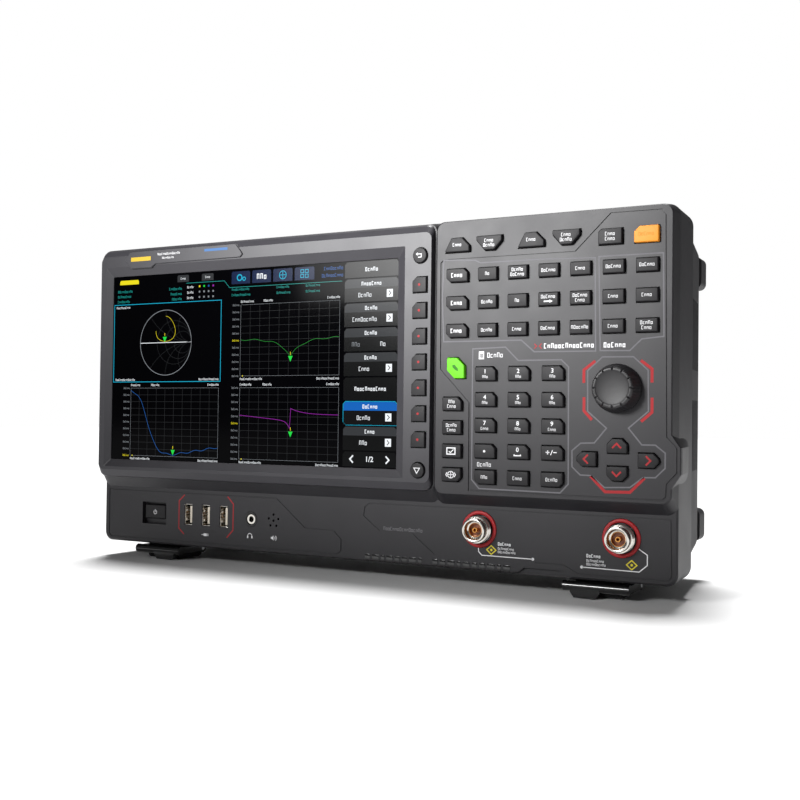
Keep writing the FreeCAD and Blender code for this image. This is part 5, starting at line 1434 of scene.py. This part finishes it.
# ---------------------------------------------------------------- CAD nodes that keep their shape
class ANALYZER_OT_casing(bpy.types.Operator):
    """Finishes for the shells, chassis, boards, fan, handle and feet"""
    bl_idname = "analyzer.casing"
    bl_label = "Casing and frame"

    def execute(self, context):
        finishes = {
            casing_abs: ["front_casing", "carry_handle"],
            bezel_paint: ["display_bezel", "nameplate"],
            rear_abs: ["rear_cover"],
            gloss_abs: ["leg_left", "leg_right"],
            cover_glass: ["touch_glass"],
            screen_black: ["lcd_panel"],
            key_silicone: ["power_button"],
            matt_black_nylon: ["speaker", "knob_encoder", "fan_frame", "fan_rotor", "mains_inlet"],
            foot_rubber: ["foot_blocks"],
            silicone_mat: ["key_mat"],
            solder_mask: ["key_boards", "main_board"],
            zinc_steel: ["front_chassis", "power_supply", "hinge_pins", "case_screws"],
            aluminium: ["rf_module", "heat_sink"],
            nickel: ["rear_connectors"],
        }
        for finish, nodes in finishes.items():
            for node in nodes:
                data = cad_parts[node].data
                if data.materials:
                    data.materials[0] = finish()
                else:
                    data.materials.append(finish())
        return {"FINISHED"}


# ---------------------------------------------------------------- stage
CAMERA_AT = (333.916, -614.808, 98.486)        # millimetres, with its turns in degrees below
CAMERA_YAW, CAMERA_PITCH, CAMERA_ROLL = 27.885, 1.053, 0.706
CAMERA_LENS = 47.563
ROOM_DIM, BACKDROP = 0.1, 1.0      # brightness of the studio round the object, and of its white backdrop
KEY_AT, KEY_AIM = (-190, -620, 360), (10, -57, 220)
KEY_WIDE, KEY_HIGH = 380, 240
KEY_WATTS, KEY_SPREAD = 0.8, 34
SUN_ENERGY, SUN_ANGLE = 4.4, 18
SUN_TOWARDS = (0.1, -0.18, -1.0)
FLOOR_HALF = 6.0                   # the floor reaches this many metres each way


def softbox(name, at, target, wide, high, watts, spread):
    """Rectangular area light aimed at a point; places in millimetres."""
    light = bpy.data.lights.new(name, "AREA")
    light.shape = "RECTANGLE"
    light.size, light.size_y = wide * MM, high * MM
    light.energy = watts
    light.spread = radians(spread)
    holder = bpy.data.objects.new(name, light)
    holder.location = Vector(at) * MM
    holder.rotation_euler = (Vector(target) - Vector(at)).to_track_quat("-Z", "Y").to_euler()
    bpy.context.scene.collection.objects.link(holder)


class ANALYZER_OT_stage(bpy.types.Operator):
    """Pale floor, soft studio light and the camera"""
    bl_idname = "analyzer.stage"
    bl_label = "Stage"

    def execute(self, context):
        scene = context.scene
        mesh = bmesh.new()
        bmesh.ops.create_grid(mesh, x_segments=8, y_segments=8, size=FLOOR_HALF)
        data = bpy.data.meshes.new("floor")
        mesh.to_mesh(data)
        mesh.free()
        floor = bpy.data.objects.new("floor", data)
        scene.collection.objects.link(floor)
        data.materials.append(surface("painted_floor", linear("#f4f4f4"), 0.8, 30.0, 0.0, vary=0.01))
        world = bpy.data.worlds.new("studio")
        scene.world = world
        world.use_nodes = True
        tree = world.node_tree
        seen = add_node(tree, "LightPath").outputs["Is Camera Ray"]
        wall = add_node(tree, "MapRange", {"Value": seen, "To Min": ROOM_DIM, "To Max": BACKDROP})
        tree.nodes["Background"].inputs["Color"].default_value = (1, 1, 1, 1)
        tree.links.new(wall.outputs["Result"], tree.nodes["Background"].inputs["Strength"])
        softbox("key_light", KEY_AT, KEY_AIM, KEY_WIDE, KEY_HIGH, KEY_WATTS, KEY_SPREAD)
        sun = bpy.data.lights.new("overhead", "SUN")
        sun.energy, sun.angle = SUN_ENERGY, radians(SUN_ANGLE)
        overhead = bpy.data.objects.new("overhead", sun)
        overhead.rotation_euler = Vector(SUN_TOWARDS).to_track_quat("-Z", "Y").to_euler()
        scene.collection.objects.link(overhead)
        scene.view_settings.view_transform = "Standard"
        camera = bpy.data.cameras.new("camera")
        camera.lens = CAMERA_LENS
        camera.clip_start = 0.01
        holder = bpy.data.objects.new("camera", camera)
        scene.collection.objects.link(holder)
        turn = Matrix.Rotation(radians(CAMERA_YAW), 4, "Z")
        turn = turn @ Matrix.Rotation(radians(90 + CAMERA_PITCH), 4, "X")
        turn = turn @ Matrix.Rotation(radians(CAMERA_ROLL), 4, "Z")
        holder.matrix_world = Matrix.Translation(Vector(CAMERA_AT) * MM) @ turn
        scene.camera = holder
        return {"FINISHED"}


class ANALYZER_PT_panel(bpy.types.Panel):
    bl_label = "Analyzer"
    bl_idname = "ANALYZER_PT_panel"
    bl_space_type = "VIEW_3D"
    bl_region_type = "UI"
    bl_category = "Analyzer"

    def draw(self, context):
        layout = self.layout
        for group in (context.scene.analyzer_sizes, context.scene.analyzer_colours):
            for name in group.__annotations__:
                layout.prop(group, name)
        for operator in OPERATORS:
            layout.operator(operator.bl_idname)


OPERATORS = (ANALYZER_OT_casing, ANALYZER_OT_keys, ANALYZER_OT_knob, ANALYZER_OT_ports,
             ANALYZER_OT_sockets, ANALYZER_OT_printing, ANALYZER_OT_trim, ANALYZER_OT_display,
             ANALYZER_OT_rear, ANALYZER_OT_stage)
CLASSES = (AnalyzerSizes, AnalyzerColours) + OPERATORS + (ANALYZER_PT_panel,)


def register():
    for item in CLASSES:
        bpy.utils.register_class(item)
    bpy.types.Scene.analyzer_sizes = PointerProperty(type=AnalyzerSizes)
    bpy.types.Scene.analyzer_colours = PointerProperty(type=AnalyzerColours)


def unregister():
    del bpy.types.Scene.analyzer_colours
    del bpy.types.Scene.analyzer_sizes
    for item in reversed(CLASSES):
        bpy.utils.unregister_class(item)


def main():
    register()
    for operator in (bpy.ops.analyzer.casing, bpy.ops.analyzer.keys, bpy.ops.analyzer.knob,
                     bpy.ops.analyzer.ports, bpy.ops.analyzer.sockets, bpy.ops.analyzer.printing,
                     bpy.ops.analyzer.trim, bpy.ops.analyzer.display, bpy.ops.analyzer.rear,
                     bpy.ops.analyzer.stage):
        operator()


if __name__ == "__main__":
    main()
